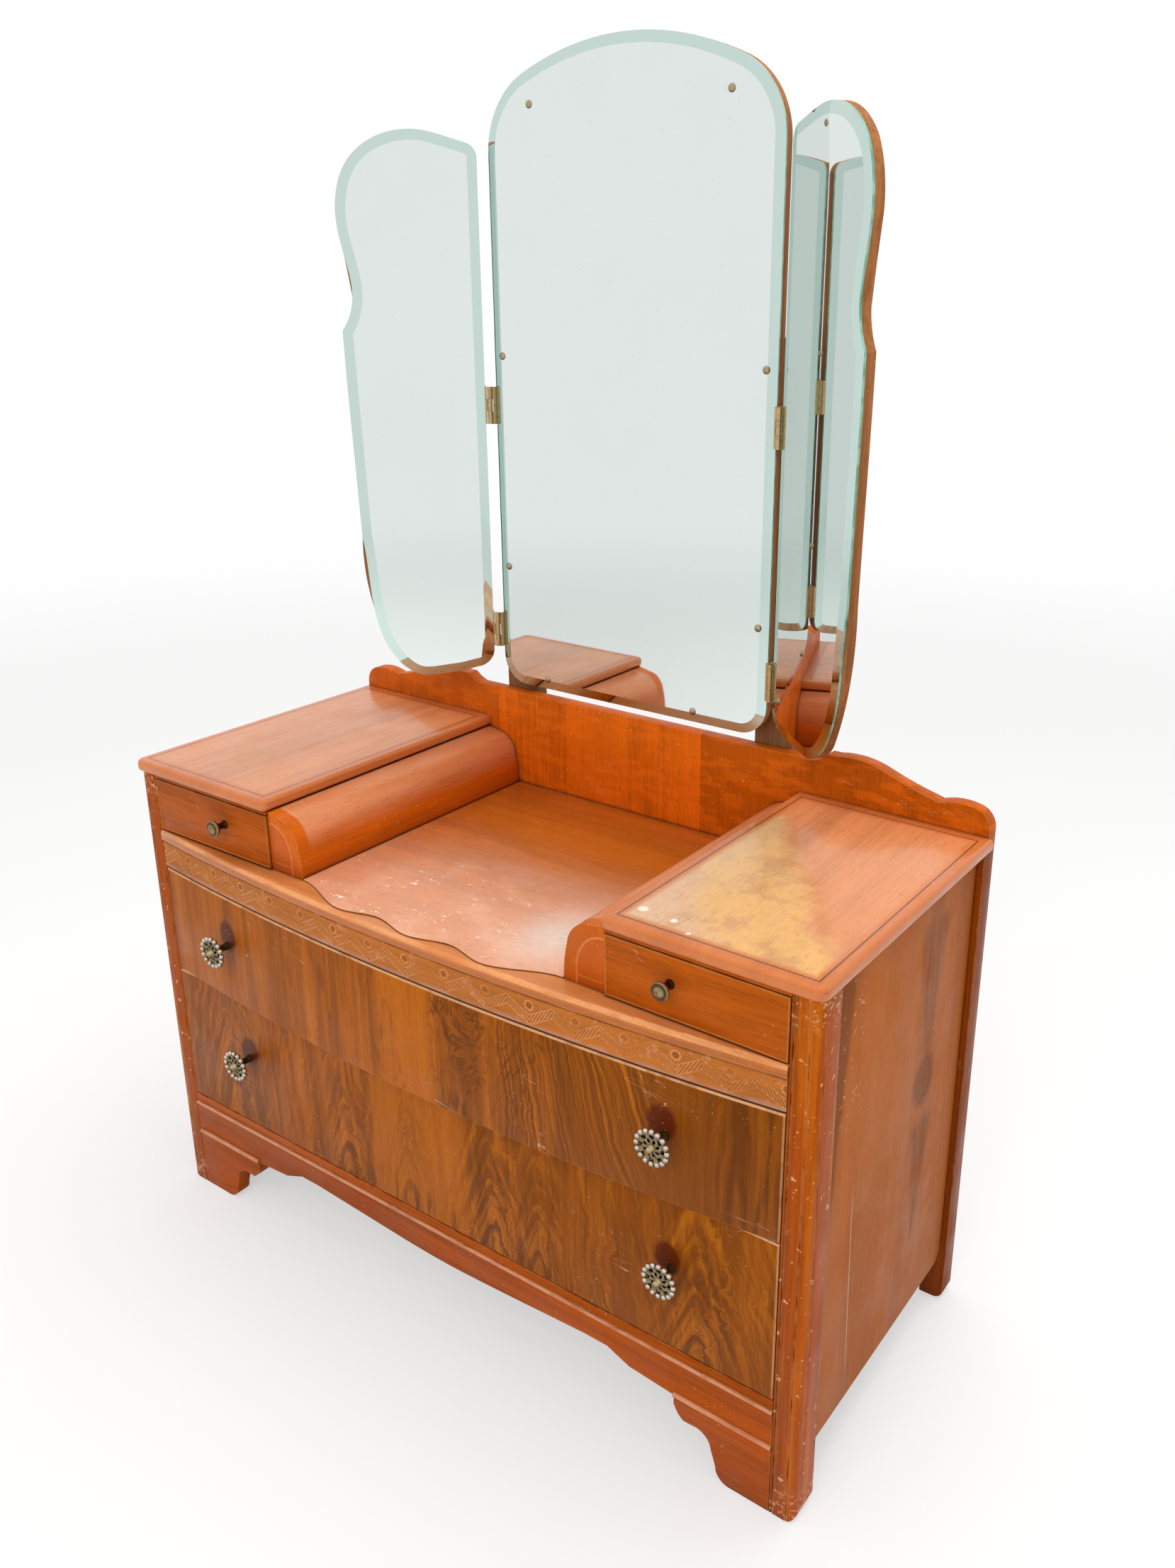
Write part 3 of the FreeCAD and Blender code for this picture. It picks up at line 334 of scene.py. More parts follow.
VARNISH_GLOW = (1.0, 0.55, 0.20)
# Colour of the painted shade, with some grime, in corners and grooves
SHADE_AND_GRIME = (0.035, 0.012, 0.006)
PALE_FLECK = (0.78, 0.50, 0.28)
PALE_SCRATCH = (0.78, 0.58, 0.42)
BARE_CHIP = (0.72, 0.46, 0.30)
LINE_BLACK = (0.060, 0.022, 0.010)
DRAWERS = ("small_drawer_left", "small_drawer_right", "upper_drawer", "lower_drawer")


def walnut_grain(finish, along, wander=0.02, bands=24.0):
    """Broad figure, fine lines and pores of walnut, each about 0.5."""
    x, y, z = finish.x, finish.y, finish.z
    length, across, depth = {"X": (x, z, y), "Y": (y, x, z), "Z": (z, x, y)}[along]
    drift = finish.streaks(across * 5, depth * 5, length * 1.7) - 0.5
    bent = across + drift * wander
    figure = finish.streaks(bent * bands, depth * bands, length * 1.3, 4, 0.55, 0.6)
    lines = finish.streaks(bent * 300, depth * 300, length * 7, 4, 0.7)
    pores = finish.streaks(across * 1500, depth * 1500, length * 55, 1)
    return figure, lines, pores


def age(finish, fleck):
    """Painted shade with some grime in corners, rubbed edges, white flecks and fine scratches over a
    varnished wood. Gives back where it is rubbed.
    """
    x, y, z = finish.x, finish.y, finish.z
    flecks = finish.noise(240, 2, 0.6).rise(0.69, 0.73) * finish.noise(7, 3).rise(0.5, 0.62)
    slant = finish.streaks(x * 9 + z * 60, y * 60 - x * 7, z * 9 - y * 60, 1, scale=1.3)
    scratch = (1 - abs(slant - 0.5).rise(0.0007, 0.0016)) * finish.noise(11).rise(0.56, 0.64)
    rubbed = finish.edges(0.0022) * finish.noise(34, 3).rise(0.34, 0.56)
    # Painted shade: corners and grooves darkened, with some grime in them
    finish.paint(finish.darkening(0.007) * 0.85, SHADE_AND_GRIME)
    finish.paint(rubbed * 0.8, tone("edge"))
    finish.paint(flecks * 0.60 * fleck, PALE_FLECK)
    finish.paint(scratch * 0.4 * fleck, PALE_SCRATCH)
    return rubbed


def wood(name, base, along, marks, dark, light=1.6, gloss=0.34, coat=0.0, shine=0.15, bands=24.0, wander=0.02,
         fleck=1.0, gold=None):
    """A stained and varnished wood. Marks paints what one piece alone shows."""
    finish = Finish(name)
    figure, lines, pores = walnut_grain(finish, along, wander, bands)
    finish.start(
        figure * 0.6 + lines * 0.4,
        (0.38, shade(base, dark)), (0.46, shade(base, max(0.82, (1 + dark) / 2))),
        (0.54, shade(base, min(1.10, (1 + light) / 2))), (0.64, gold or shade(base, light)),
    )
    if marks:
        marks(finish, lines)
    finish.paint(pores.rise(0.60, 0.72) * 0.42, shade(base, 0.28))
    rubbed = age(finish, fleck)
    dull = finish.noise(16, 4).rise(0.35, 0.7)
    height = lines * 0.35 + pores * 0.4 + dull * 0.3
    return finish.close(
        gloss + dull * 0.16 + rubbed * 0.15, height, 0.00035, coat, shine=shine, glow=VARNISH_GLOW
    )


def plain_wood(name, base, along="X", rough=0.62):
    """An unvarnished wood, as inside a drawer or behind the table."""
    finish = Finish(name)
    figure, lines, pores = walnut_grain(finish, along, 0.03, 16)
    finish.start(
        figure * 0.5 + lines * 0.5,
        (0.35, shade(base, 0.55)), (0.5, shade(base, 0.95)), (0.66, shade(base, 1.4)),
    )
    darkening = finish.noise(5, 4).rise(0.42, 0.7)
    finish.paint(darkening * 0.35, shade(base, 0.45))
    return finish.close(rough + darkening * 0.2, lines * 0.5 + pores * 0.5, 0.0005, shine=0.25)


# What the long drawer fronts show: heights over the floor, and places across from the middle

UPPER_FOOT = 0.372
LOWER_FOOT = 0.162
KNOB_PATCH_LEVELS = {"upper_drawer_front": 0.4715, "lower_drawer_front": 0.2830}
KNOB_PATCH_ACROSS = 0.356
KNOB_PATCH_HALF = (0.0176, 0.0222)
FLAMES = (
    (-0.165, 0.036, 0.180, 0.80), (-0.050, 0.024, 0.165, 0.45), (0.092, 0.046, 0.165, 0.95),
    (0.168, 0.028, 0.165, 0.75), (0.395, 0.046, 0.160, 0.90), (-0.400, 0.050, 0.240, 0.70),
)
FLAME_TIP = 0.007
FLAME_SLOPE = 0.34
RIM_TOP = (0.0036, 0.0028)
RIM_END = (0.0030, 0.0022)
BURR = (0.04, 0.18)


def front_rim_and_knob_patches(finish, node):
    """The pale rim of a long drawer front, partly rubbed and partly a painted highlight along its lit top and
    end, and a dark red patch round the seat of each knob.
    """
    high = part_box(node)[1]
    uneven = finish.noise(45, 3).rise(0.30, 0.55)
    top = finish.z.rise(high.z - RIM_TOP[0], high.z - RIM_TOP[1])
    end = finish.x.rise(high.x - RIM_END[0], high.x - RIM_END[1])
    # Painted highlight, over some rubbing, along the top and the end arris
    finish.paint(top.upper(end * 0.45) * (uneven * 0.5 + 0.4), (0.70, 0.36, 0.18))
    # A dark red patch round the seat of each knob
    for sign in SIGNS.values():
        away = finish.noise(120, 3) * 0.010
        run = (finish.x - sign * KNOB_PATCH_ACROSS) / KNOB_PATCH_HALF[0]
        climb = (finish.z - KNOB_PATCH_LEVELS[node]) / KNOB_PATCH_HALF[1]
        patch = (run * run + climb * climb).root() + away * 22
        finish.paint((1 - patch.rise(0.90, 1.30)) * 0.90, (0.105, 0.013, 0.003))


def orange_strip(finish, lines, strip, share, colour, line_rise, line_share, line_tone):
    """A plain orange strip between two sheets of veneer, with fine lines."""
    finish.paint(strip * share, colour)
    finish.paint(strip * lines.rise(*line_rise) * line_share, shade(tone("front"), line_tone))


def upper_front_marks(finish, lines):
    """Crotch figure right of the middle, fanning lines, and an orange strip at the joint."""
    base, stain = tone("front"), tone("stain")
    x, z, paint = finish.x, finish.z - UPPER_FOOT, finish.paint
    sway = (finish.noise(13, 3, 0.6, 0.5) - 0.5) * 0.026
    fan = finish.streaks((x + (x - 0.10) * z * 1.8 + sway) * 150, z * 2, 0.0, 3, 0.62)
    fanned = x.within(0.15, 0.33, 0.03)
    cloud = finish.streaks(x * 11, z * 9, 1.7, 3, 0.55)
    paint(x.rise(0.15, 0.26) * 0.66, shade(base, 0.52))
    paint(fanned * fan.rise(0.48, 0.62) * 0.75, shade(stain, 1.5))
    paint(fanned * (1 - fan.rise(0.34, 0.46)) * 0.55, tone("gold"))
    burr = finish.streaks(x * 24, z * 13, 0.0, 4, 0.60, 1.9)
    squiggle = (1 - abs(burr - 0.5).rise(0.008, 0.050)) * x.within(*BURR, 0.03)
    paint(squiggle * (cloud.rise(0.40, 0.58) * 0.6 + 0.2), shade(stain, 1.3))
    blotch = finish.streaks(x * 34, z * 15, 0.3, 3, 0.6, 1.4).rise(0.56, 0.68)
    paint(blotch * x.within(0.03, 0.20, 0.04) * 0.75, shade(stain, 1.2))
    strip = x.within(-0.040, 0.012, 0.030)
    orange_strip(finish, lines, strip, 0.75, (0.50, 0.125, 0.004), (0.50, 0.62), 0.4, 0.9)
    end = finish.streaks(x * 60, z * 5, 0.0, 3, 0.6, 0.8).rise(0.40, 0.62)
    paint(x.rise(0.37, 0.45) * end * 0.85, shade(stain, 1.3))
    left = finish.streaks(x * 40, z * 11, 0.0, 4, 0.6, 1.0).rise(0.55, 0.70)
    middle = x.within(-0.20, -0.02, 0.06)
    paint(left * (middle * 0.45 + 0.15) * (1 - x.rise(-0.02, 0.02)), shade(stain, 1.8))
    front_rim_and_knob_patches(finish, "upper_drawer_front")


def flame(finish, centre, foot):
    """Grain that runs in pointed arches about one line across, as a noise along the arch."""
    drift = finish.noise(24, 4, 0.62, 0.6) - 0.5
    run = finish.x - centre + drift * 0.030
    climb = finish.z - foot
    along = (run * run + FLAME_TIP * FLAME_TIP).root() + climb * FLAME_SLOPE + drift * 0.030
    return finish.streaks(along * 92, climb * 7, 0.0, 4, 0.58)


def lower_front_marks(finish, lines):
    """Pointed flames in the veneer either side of an orange strip."""
    base, stain, gold = tone("front"), tone("stain"), tone("gold")
    x, z, paint = finish.x, finish.z - LOWER_FOOT, finish.paint
    sway = (finish.noise(13, 3, 0.6, 0.5) - 0.5) * 0.050
    streaks = finish.streaks((x + x * z * 0.7 + sway) * 105, z * 6, 0.0, 4, 0.60)
    cloud = finish.streaks(x * 10, z * 7, 3.1, 3, 0.55)
    paint(x.rise(0.06, 0.20) * 0.44, shade(base, 0.58))
    # Painted shade: darker towards the left end, against the sheen it catches there
    paint((1 - x.rise(-0.46, -0.24)) * 0.30, shade(base, 0.50))
    paint(streaks.rise(0.47, 0.66) * (cloud.rise(0.38, 0.60) * 0.6 + 0.1), shade(stain, 1.7))
    paint((1 - streaks.rise(0.34, 0.48)) * 0.30, gold)
    strip = x.within(-0.100, 0.040, 0.025)
    orange_strip(finish, lines, strip, 0.6, (0.46, 0.120, 0.005), (0.46, 0.60), 0.35, 0.8)
    for centre, half, foot, strength in FLAMES:
        ring = flame(finish, centre, foot)
        zone = x.hump(centre, half)
        low = 1 - z.rise(0.02, 0.21) * 0.5
        paint(zone * (1 - ring.rise(0.38, 0.52)) * 0.45, gold)
        paint(zone * ring.rise(0.46, 0.62) * low * strength, shade(stain, 1.2))
    tips = finish.streaks(x * 62, z * 9, 0.0, 3, 0.6).rise(0.50, 0.62)
    low = 1 - z.rise(0.005, 0.055)
    paint(tips * low * x.within(-0.22, 0.20, 0.05) * 0.75, shade(stain, 1.2))
    front_rim_and_knob_patches(finish, "lower_drawer_front")


# What the other boards show

# Upright panels of the gallery: from, to and share of the tone. The two on the right are darker, partly their
# own tone and partly painted shade.
GALLERY_PANELS = ((-0.53, -0.25, 0.80), (-0.12, -0.006, 1.20), (0.116, 0.27, 0.55), (0.27, 0.53, 0.48))
GALLERY_JOINTS = (-0.25, -0.12, -0.006, 0.116, 0.27)
WHITE_SPOTS = ((0.296, -0.174, 0.0066), (0.338, -0.178, 0.0054), (0.366, -0.193, 0.0040))

# Dark figure of a side board: its axis, the foot, slope and least half width of its funnel, the tip and
# slope of its taper, and the place and half sizes of its knot
FIGURE_AXIS = 0.091
FUNNEL = (0.45, 0.20, 0.009)
TAPER = (0.165, 0.19)
KNOT = (0.088, 0.4135, 0.030, 0.036)

# Level, slope, and place before the middle, of the streak and the scratch of a side board
SIDE_STREAK = (0.39, 0.112, 0.143)
SIDE_SCRATCH = (0.165, 0.043, 0.083)

# Line let into a quadrant block: its centre across and up, its reach across and up, and its foot
QUADRANT_LINE = (0.2655, 0.609, 0.0350, 0.0440)
QUADRANT_FOOT = (0.2285, 0.2665)
QUADRANT_FOOT_LEVEL = 0.600
QUADRANT_FRONT = (-0.190, -0.186)

# Spot of painted sheen on the deck panel, and the line inlaid round a pedestal top
DECK_SHEEN_SPOT = (0.155, -0.135)
INLAY_INSET = 0.0140
INLAY_HALF = 0.0007


def bead_marks(node, drop, height):
    """A painted highlight along the rounded top of a bead, and painted shade in the corner over it."""
    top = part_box(node)[1].z - drop

    def marks(finish, lines):
        uneven = finish.noise(30, 3).rise(0.30, 0.60)
        # Painted shade in the corner over the bead
        finish.paint(finish.z.within(top, top + 0.0008, 0.0004) * 0.7, (0.080, 0.024, 0.006))
        # Painted highlight along the rounded top of the bead
        paler = finish.z.within(top - height * 0.55, top - 0.0002, 0.0004)
        finish.paint(paler * (uneven * 0.35 + 0.4), (0.74, 0.35, 0.20))

    return marks


def post_marks(finish, lines):
    """Chips and rubbed varnish at the head and the foot of a corner post, and streaks of painted highlight
    down it.
    """
    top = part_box("front_post_right")[1].z
    head = finish.z.rise(top - 0.045, top - 0.010)
    foot = 1 - finish.z.rise(0.015, 0.060)
    chips = finish.noise(170, 3, 0.6)
    sparse = finish.noise(95, 2, 0.6).rise(0.665, 0.700)
    finish.paint(head.upper(foot * 0.8) * chips.rise(0.55, 0.61) * 0.8, (0.74, 0.42, 0.22))
    finish.paint(sparse * 0.75, (0.78, 0.42, 0.20))
    # Painted highlight: wide upright streaks of brighter orange
    glow = finish.streaks(finish.x * 60, finish.y * 60, finish.z * 3).rise(0.50, 0.66)
    finish.paint(glow * 0.45, (0.56, 0.150, 0.008))


def box_line(finish, low, high, inset, half):
    """1 on a line that runs inside a rectangle at one distance from its sides, across and back."""
    across = (finish.x - low.x).lower(high.x - finish.x)
    back = (finish.y - low.y).lower(high.y - finish.y)
    return 1 - abs(across.lower(back) - inset).rise(half, half * 1.9)


def bleached_patch(finish, lines, low, high, rim):
    """The bleached near corner of the right pedestal top, golden, smudged and spotted with white."""
    cloud = finish.noise(11, 5, 0.66) - 0.5
    across = (finish.x - low.x) / (high.x - low.x)
    slope = across * 0.77 + (finish.y - low.y) / (high.y - low.y)
    golden = (slope + cloud * 0.5).within(0.50, 0.80, 0.20)
    curl = finish.streaks(finish.x * 42, finish.y * 30, 0.0, 5, 0.68, 1.6).rise(0.50, 0.66)
    paler = (0.70, 0.44, 0.27)
    for share, colour in (
        (golden * 0.85, (0.80, 0.45, 0.13)),
        (finish.noise(30, 4, 0.62).rise(0.46, 0.64) * 0.60, (0.50, 0.25, 0.12)),
        (curl * 0.34, (0.56, 0.30, 0.13)),
        ((1 - (across + cloud * 0.3).rise(0.05, 0.40)) * 0.45, (0.72, 0.54, 0.34)),
    ):
        paler = finish.blend(share, paler, colour)
    patch = 1 - (slope + cloud * 0.30).rise(0.78, 0.92)
    finish.paint(patch * (1 - rim) * (0.90 - lines * 0.22), paler)
    for x, y, radius in WHITE_SPOTS:
        away = ((finish.x - x).power(2) + (finish.y - y).power(2)).root() + cloud * 0.010
        finish.paint((1 - away.rise(radius * 0.5, radius)) * 0.80, (0.92, 0.88, 0.74))


def top_marks(side):
    """Dark line inlaid round a pedestal top, and the bleached patch of the right one."""
    low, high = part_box("pedestal_top_" + side)

    def marks(finish, lines):
        line = box_line(finish, low, high, INLAY_INSET, INLAY_HALF)
        rim = box_line(finish, low, high, 0.0, 0.0138)
        if side == "right":
            bleached_patch(finish, lines, low, high, rim)
        finish.paint(rim * 0.5, shade(tone("gallery"), 0.85))
        finish.paint(line * 0.8, LINE_BLACK)

    return marks


def deck_marks(finish, lines):
    """Painted sheen on the near part and a painted reflection of the gallery at the back, chips and a dark
    rim on the raised panel of the deck.
    """
    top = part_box("deck_overlay")[1].z
    x, y, paint = finish.x, finish.y, finish.paint
    near = 1 - y.rise(-0.17, 0.09)
    cloud = finish.streaks(x * 9, y * 14, 0.0, 4, 0.6).rise(0.40, 0.66)
    left = 1 - x.rise(-0.24, 0.02)
    # Painted sheen over the near part of the panel
    paint(near * (cloud * 0.30 + 0.66) * (1 - left * 0.35), (0.80, 0.41, 0.27))
    # A spot of grey-white painted sheen near the right front
    paint(x.hump(DECK_SHEEN_SPOT[0], 0.055) * y.hump(DECK_SHEEN_SPOT[1], 0.060) * 0.80, (0.74, 0.62, 0.54))
    chips = finish.streaks(x * 62, y * 110, 0.0, 4, 0.66).rise(0.615, 0.640)
    where = finish.streaks(x * 9, y * 9, 5.0).rise(0.42, 0.54) * (1 - y.rise(-0.16, -0.02))
    paint(chips * where * (1 - x.rise(-0.02, 0.18) * 0.7) * 0.90, (0.95, 0.80, 0.68))
    # Painted reflection of the gallery: deeper orange at the back
    paint(x.within(-0.30, -0.14, 0.05) * (1 - near) * cloud * 0.4, (0.40, 0.075, 0.008))
    paint((1 - finish.z.rise(top - 0.0006, top - 0.0002)) * 0.9, (0.060, 0.035, 0.030))


def nosing_marks(finish, lines):
    """A painted highlight along the top of the deck's front edge, over painted shade on the edge below it."""
    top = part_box("deck_board")[1].z
    edge = 1 - finish.y.rise(-0.15, -0.13)
    uneven = finish.streaks(finish.x * 9, 0.0, finish.z * 60, 3).rise(0.35, 0.60)
    under = (1 - finish.z.rise(top - 0.0100, top - 0.0060)) * edge
    line = finish.z.within(top - 0.0046, top - 0.0006, 0.0010) * edge
    # Painted shade on the lower part of the rounded front edge
    finish.paint(under * 0.45, (0.30, 0.062, 0.006))
    # Painted highlight along the top of the rounded front edge
    finish.paint(line * (uneven * 0.45 + 0.25), (0.86, 0.40, 0.17))


def quadrant_marks(side):
    """A pale line let into the front of a quadrant block, round a redder field, with a painted highlight over
    the top and painted shade low down.
    """
    centre, level, reach, rise = QUADRANT_LINE

    def marks(finish, lines):
        across, z = finish.x * SIGNS[side], finish.z
        run = (centre - across) / reach
        climb = (z - level) / rise
        ring = (run.power(2) + climb.upper(0).power(2)).root()
        front = 1 - finish.y.rise(*QUADRANT_FRONT)
        line = (1 - abs(ring - 1).rise(0.022, 0.045)) * front
        low_line = 1 - abs(z - QUADRANT_FOOT_LEVEL).rise(0.0004, 0.0009)
        foot = across.within(*QUADRANT_FOOT, 0.0004) * low_line * front
        pale = z.rise(0.615, 0.652) * (1 - front)
        paler = finish.streaks(finish.x * 30, finish.y * 6, z * 30, 3).rise(0.35, 0.65)
        # Painted highlight: the top paler as it climbs
        finish.paint(pale * (paler * 0.25 + 0.35), (0.72, 0.32, 0.17))
        finish.paint((1 - ring.rise(0.97, 1.0)) * front * 0.5, (0.48, 0.075, 0.005))
        # Painted shade: darker towards the bottom
        finish.paint((1 - z.rise(0.588, 0.618)) * 0.40, (0.27, 0.040, 0.003))
        finish.paint(line.upper(foot) * 0.45, (0.72, 0.28, 0.10))

    return marks


def side_marks(finish, lines):
    """Dark figure of a side board: a funnel, a knot and a long taper, with one streak and one scratch."""
    base = tone("side")
    y, z, paint = finish.y, finish.z, finish.paint
    drift = (finish.noise(12, 4, 0.6) - 0.5) * 0.018
    away = abs(y - FIGURE_AXIS + drift)
    figure = finish.streaks(away * 120, z * 7, 0.0, 4, 0.6).rise(0.36, 0.62)
    foot, slope, half = FUNNEL
    funnel = 1 - (away / ((z - foot).upper(0) * slope + half)).rise(0.55, 1.20)
    tip, slope = TAPER
    taper = 1 - (away / ((z - tip).upper(0.002) * slope)).rise(0.50, 1.10)
    back, level, half_back, half_level = KNOT
    knot = (((y - back + drift * 0.5) / half_back).power(2) + ((z - level) / half_level).power(2)).root()
    rings = finish.streaks(knot * 6, 0.0, 2.0).rise(0.40, 0.60)
    paint(y.within(-0.11, 0.02, 0.05) * z.rise(0.28, 0.45) * 0.4, (0.50, 0.130, 0.018))
    paint(funnel * z.within(0.455, 0.610, 0.030) * (figure * 0.45 + 0.20), shade(base, 0.36))
    paint(taper * z.within(0.190, 0.345, 0.025) * (figure * 0.40 + 0.35), shade(base, 0.36))
    paint((1 - knot.rise(0.75, 1.20)) * (rings * 0.25 + 0.50), shade(base, 0.33))
    level, slope, ahead = SIDE_STREAK
    edge = (z - level) * slope - ahead
    streak = y.rise(-0.154, -0.147) * (1 - (y - edge + drift * 0.3).rise(-0.008, 0.004))
    paint(streak * z.within(0.40, 0.66, 0.03) * 0.60, shade(base, 0.34))
    chips = finish.noise(120, 3, 0.6).rise(0.62, 0.66) * y.within(-0.135, -0.100, 0.02)
    paint(chips * z.within(0.50, 0.62, 0.04) * 0.6, BARE_CHIP)
    level, slope, ahead = SIDE_SCRATCH
    scratch = 1 - abs(y + ahead + (z - level) * slope).rise(0.0004, 0.0014)
    paint(scratch * z.within(0.170, 0.300, 0.11) * 0.65, BARE_CHIP)


def gallery_marks(finish, lines):
    """Veneer laid in upright panels, each of its own tone, the right ones darkened also by painted shade,
    with a faint cross figure.
    """
    base = tone("gallery")
    x = finish.x
    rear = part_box("gallery_board")[1].y
    for low, high, share in GALLERY_PANELS:
        finish.paint(x.within(low, high, 0.0006) * 0.6, shade(base, share))
    for joint in GALLERY_JOINTS:
        finish.paint((1 - abs(x - joint).rise(0.0003, 0.0007)) * 0.5, shade(base, 0.4))
    ripple = finish.streaks(x * 30, finish.y * 30, finish.z * 90).rise(0.46, 0.62)
    finish.paint(ripple * 0.30, shade(base, 1.5))
    finish.paint(finish.y.rise(rear - 0.0012, rear - 0.0004) * 0.85, shade(tone("back"), 1.5))


def small_front_marks(finish, lines):
    """A soft cross ripple over the plain veneer of a small drawer."""
    ripple = finish.streaks(finish.x * 18, finish.y * 18, finish.z * 60, 3).rise(0.44, 0.62)
    finish.paint(ripple * 0.25, shade(tone("small_front"), 1.5))


def carved_wood(name):
    """The frieze, with painted shade in its hollows and pale on what stands out, partly rubbed and partly a
    painted highlight.
    """
    base = tone("frieze")
    finish = Finish(name)
    figure, lines, pores = walnut_grain(finish, "X", 0.01, 30)
    finish.start(
        figure * 0.6 + lines * 0.4, (0.36, shade(base, 0.75)), (0.5, base), (0.66, shade(base, 1.25))
    )
    lift = finish.attribute("lift")
    paler = finish.noise(30, 3).rise(0.3, 0.6)
    kept = finish.noise(16, 4, 0.65).rise(0.36, 0.62)
    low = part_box("frieze_board")[0].z
    # Painted shade in the hollows of the carving
    finish.paint((1 - lift.rise(0.05, 0.45)) * (kept * 0.45 + 0.35), shade(base, 0.42))
    # Painted highlight, with some rubbing, on what stands out
    finish.paint(lift.rise(0.45, 0.90) * (kept * 0.60 + 0.12), (0.68, 0.29, 0.11))
    finish.paint(finish.noise(60, 4, 0.7).rise(0.56, 0.68) * 0.40, (0.62, 0.30, 0.16))
    finish.paint((1 - finish.z.rise(low + 0.003, low + 0.009)) * paler * 0.5, (0.48, 0.26, 0.20))
    # Painted shade of the gap under the frieze: a near-black line along its foot
    finish.paint(1 - finish.z.rise(low + 0.0014, low + 0.0018), (0.030, 0.012, 0.008))
    return finish.close(0.42 + paler * 0.15, lines * 0.3 + pores * 0.3, 0.0003, shine=0.2)


# Metals and glass

def metal(name, base, rough, bright=None):
    """Aged metal, with painted shade in its corners and on what faces down, and a painted highlight where it
    faces up.
    """
    finish = Finish(name)
    cloud = finish.noise(260, 4, 0.6)
    normal = finish.add("ShaderNodeNewGeometry", {}, "Normal")
    upward = finish.add("ShaderNodeSeparateXYZ", {}, "Z", Vector=normal)
    finish.start(base)
    finish.paint(cloud.rise(0.46, 0.66) * 0.45, shade(base, 0.5))
    # Painted highlight on what faces up
    finish.paint(upward.rise(0.0, 0.7) * 0.75, bright or shade(base, 1.3))
    # Painted shade on what faces down
    finish.paint((0 - upward).rise(0.1, 0.9) * 0.45, shade(base, 0.45))
    # Painted shade in corners and crevices, such as between the pearls
    finish.paint(finish.darkening(0.0035) * 0.92, (0.045, 0.028, 0.015))
    return finish.close(rough + cloud * 0.22, cloud, 0.00015, metallic=1.0)


def turned_brass(name):
    """Brass of a plain knob: a bright rim, with painted shade over its neck and in a dark ring round its
    middle.
    """
    finish = Finish(name)
    cloud = finish.noise(240, 4, 0.6)
    away = finish.attribute("away")
    finish.start((0.33, 0.245, 0.115))
    finish.paint(cloud.rise(0.40, 0.62) * 0.7, (0.15, 0.095, 0.042))
    # Painted shade: a dark ring round the middle of the face
    finish.paint(away.within(0.62, 0.84, 0.08) * 0.85, (0.070, 0.040, 0.018))
    finish.paint(away.rise(0.88, 0.98) * (cloud.rise(0.36, 0.56) * 0.5 + 0.2), (0.36, 0.22, 0.11))
    # Painted shade over the neck and the back, all but the face
    finish.paint(1 - away.rise(-0.2, 0.3), (0.060, 0.030, 0.014))
    return finish.close(0.24 + cloud * 0.22, cloud, 0.00012, metallic=1.0)


def mirror_finish(name, tint, rough):
    """Silvered glass with the faint haze of age."""
    finish = Finish(name)
    haze = finish.noise(6, 4, 0.6).rise(0.5, 0.75)
    finish.start(tint)
    finish.paint(haze * 0.12, shade(tint, 0.86))
    finish.paint(finish.noise(500, 1).rise(0.76, 0.79) * 0.5, shade(tint, 0.5))
    return finish.close(rough + haze * 0.02, haze, 0.00001, metallic=1.0)


def glass_edge(name):
    """The green edge of thick glass."""
    finish = Finish(name)
    streak = finish.streaks(finish.x * 20, finish.y * 20, finish.z * 60, 3)
    finish.start((0.10, 0.30, 0.20))
    finish.paint(streak.rise(0.35, 0.65), (0.24, 0.48, 0.36))
    return finish.close(0.16 + streak * 0.1, streak, 0.0001, coat=0.5)


# Meshes

def opened(mesh):
    work = bmesh.new()
    work.from_mesh(mesh)
    return work


def written(work, target, outward=True):
    """Writes the work into a mesh, or into a new one of that name."""
    if outward:
        bmesh.ops.recalc_face_normals(work, faces=work.faces)
    mesh = bpy.data.meshes.new(target) if isinstance(target, str) else target
    work.to_mesh(mesh)
    work.free()
    return mesh


def flatten(work, degrees):
    """Makes flat faces whole again."""
    bmesh.ops.dissolve_limit(work, angle_limit=math.radians(degrees), verts=work.verts, edges=work.edges)


def merged_copy(node):
    """A welded copy of one CAD node's mesh."""
    mesh = frame["nodes"][node].data.copy()
    mesh.materials.clear()
    work = opened(mesh)
    bmesh.ops.remove_doubles(work, verts=work.verts, dist=WELD)
    flatten(work, 0.5)
    written(work, mesh)
    if "custom_normal" in mesh.attributes:
        mesh.attributes.remove(mesh.attributes["custom_normal"])
    return mesh


def new_piece(name, mesh):
    piece = bpy.data.objects.new(name, mesh)
    bpy.context.scene.collection.objects.link(piece)
    return piece


def settle(piece):
    """Turns a piece's modifiers into plain mesh."""
    graph = bpy.context.evaluated_depsgraph_get()
    mesh = bpy.data.meshes.new_from_object(piece.evaluated_get(graph), depsgraph=graph)
    piece.modifiers.clear()
    piece.data = mesh
    return mesh


def smooth(mesh, angle=32):
    mesh.polygons.foreach_set("use_smooth", [True] * len(mesh.polygons))
    mesh.set_sharp_from_angle(angle=math.radians(angle))
    mesh.update()


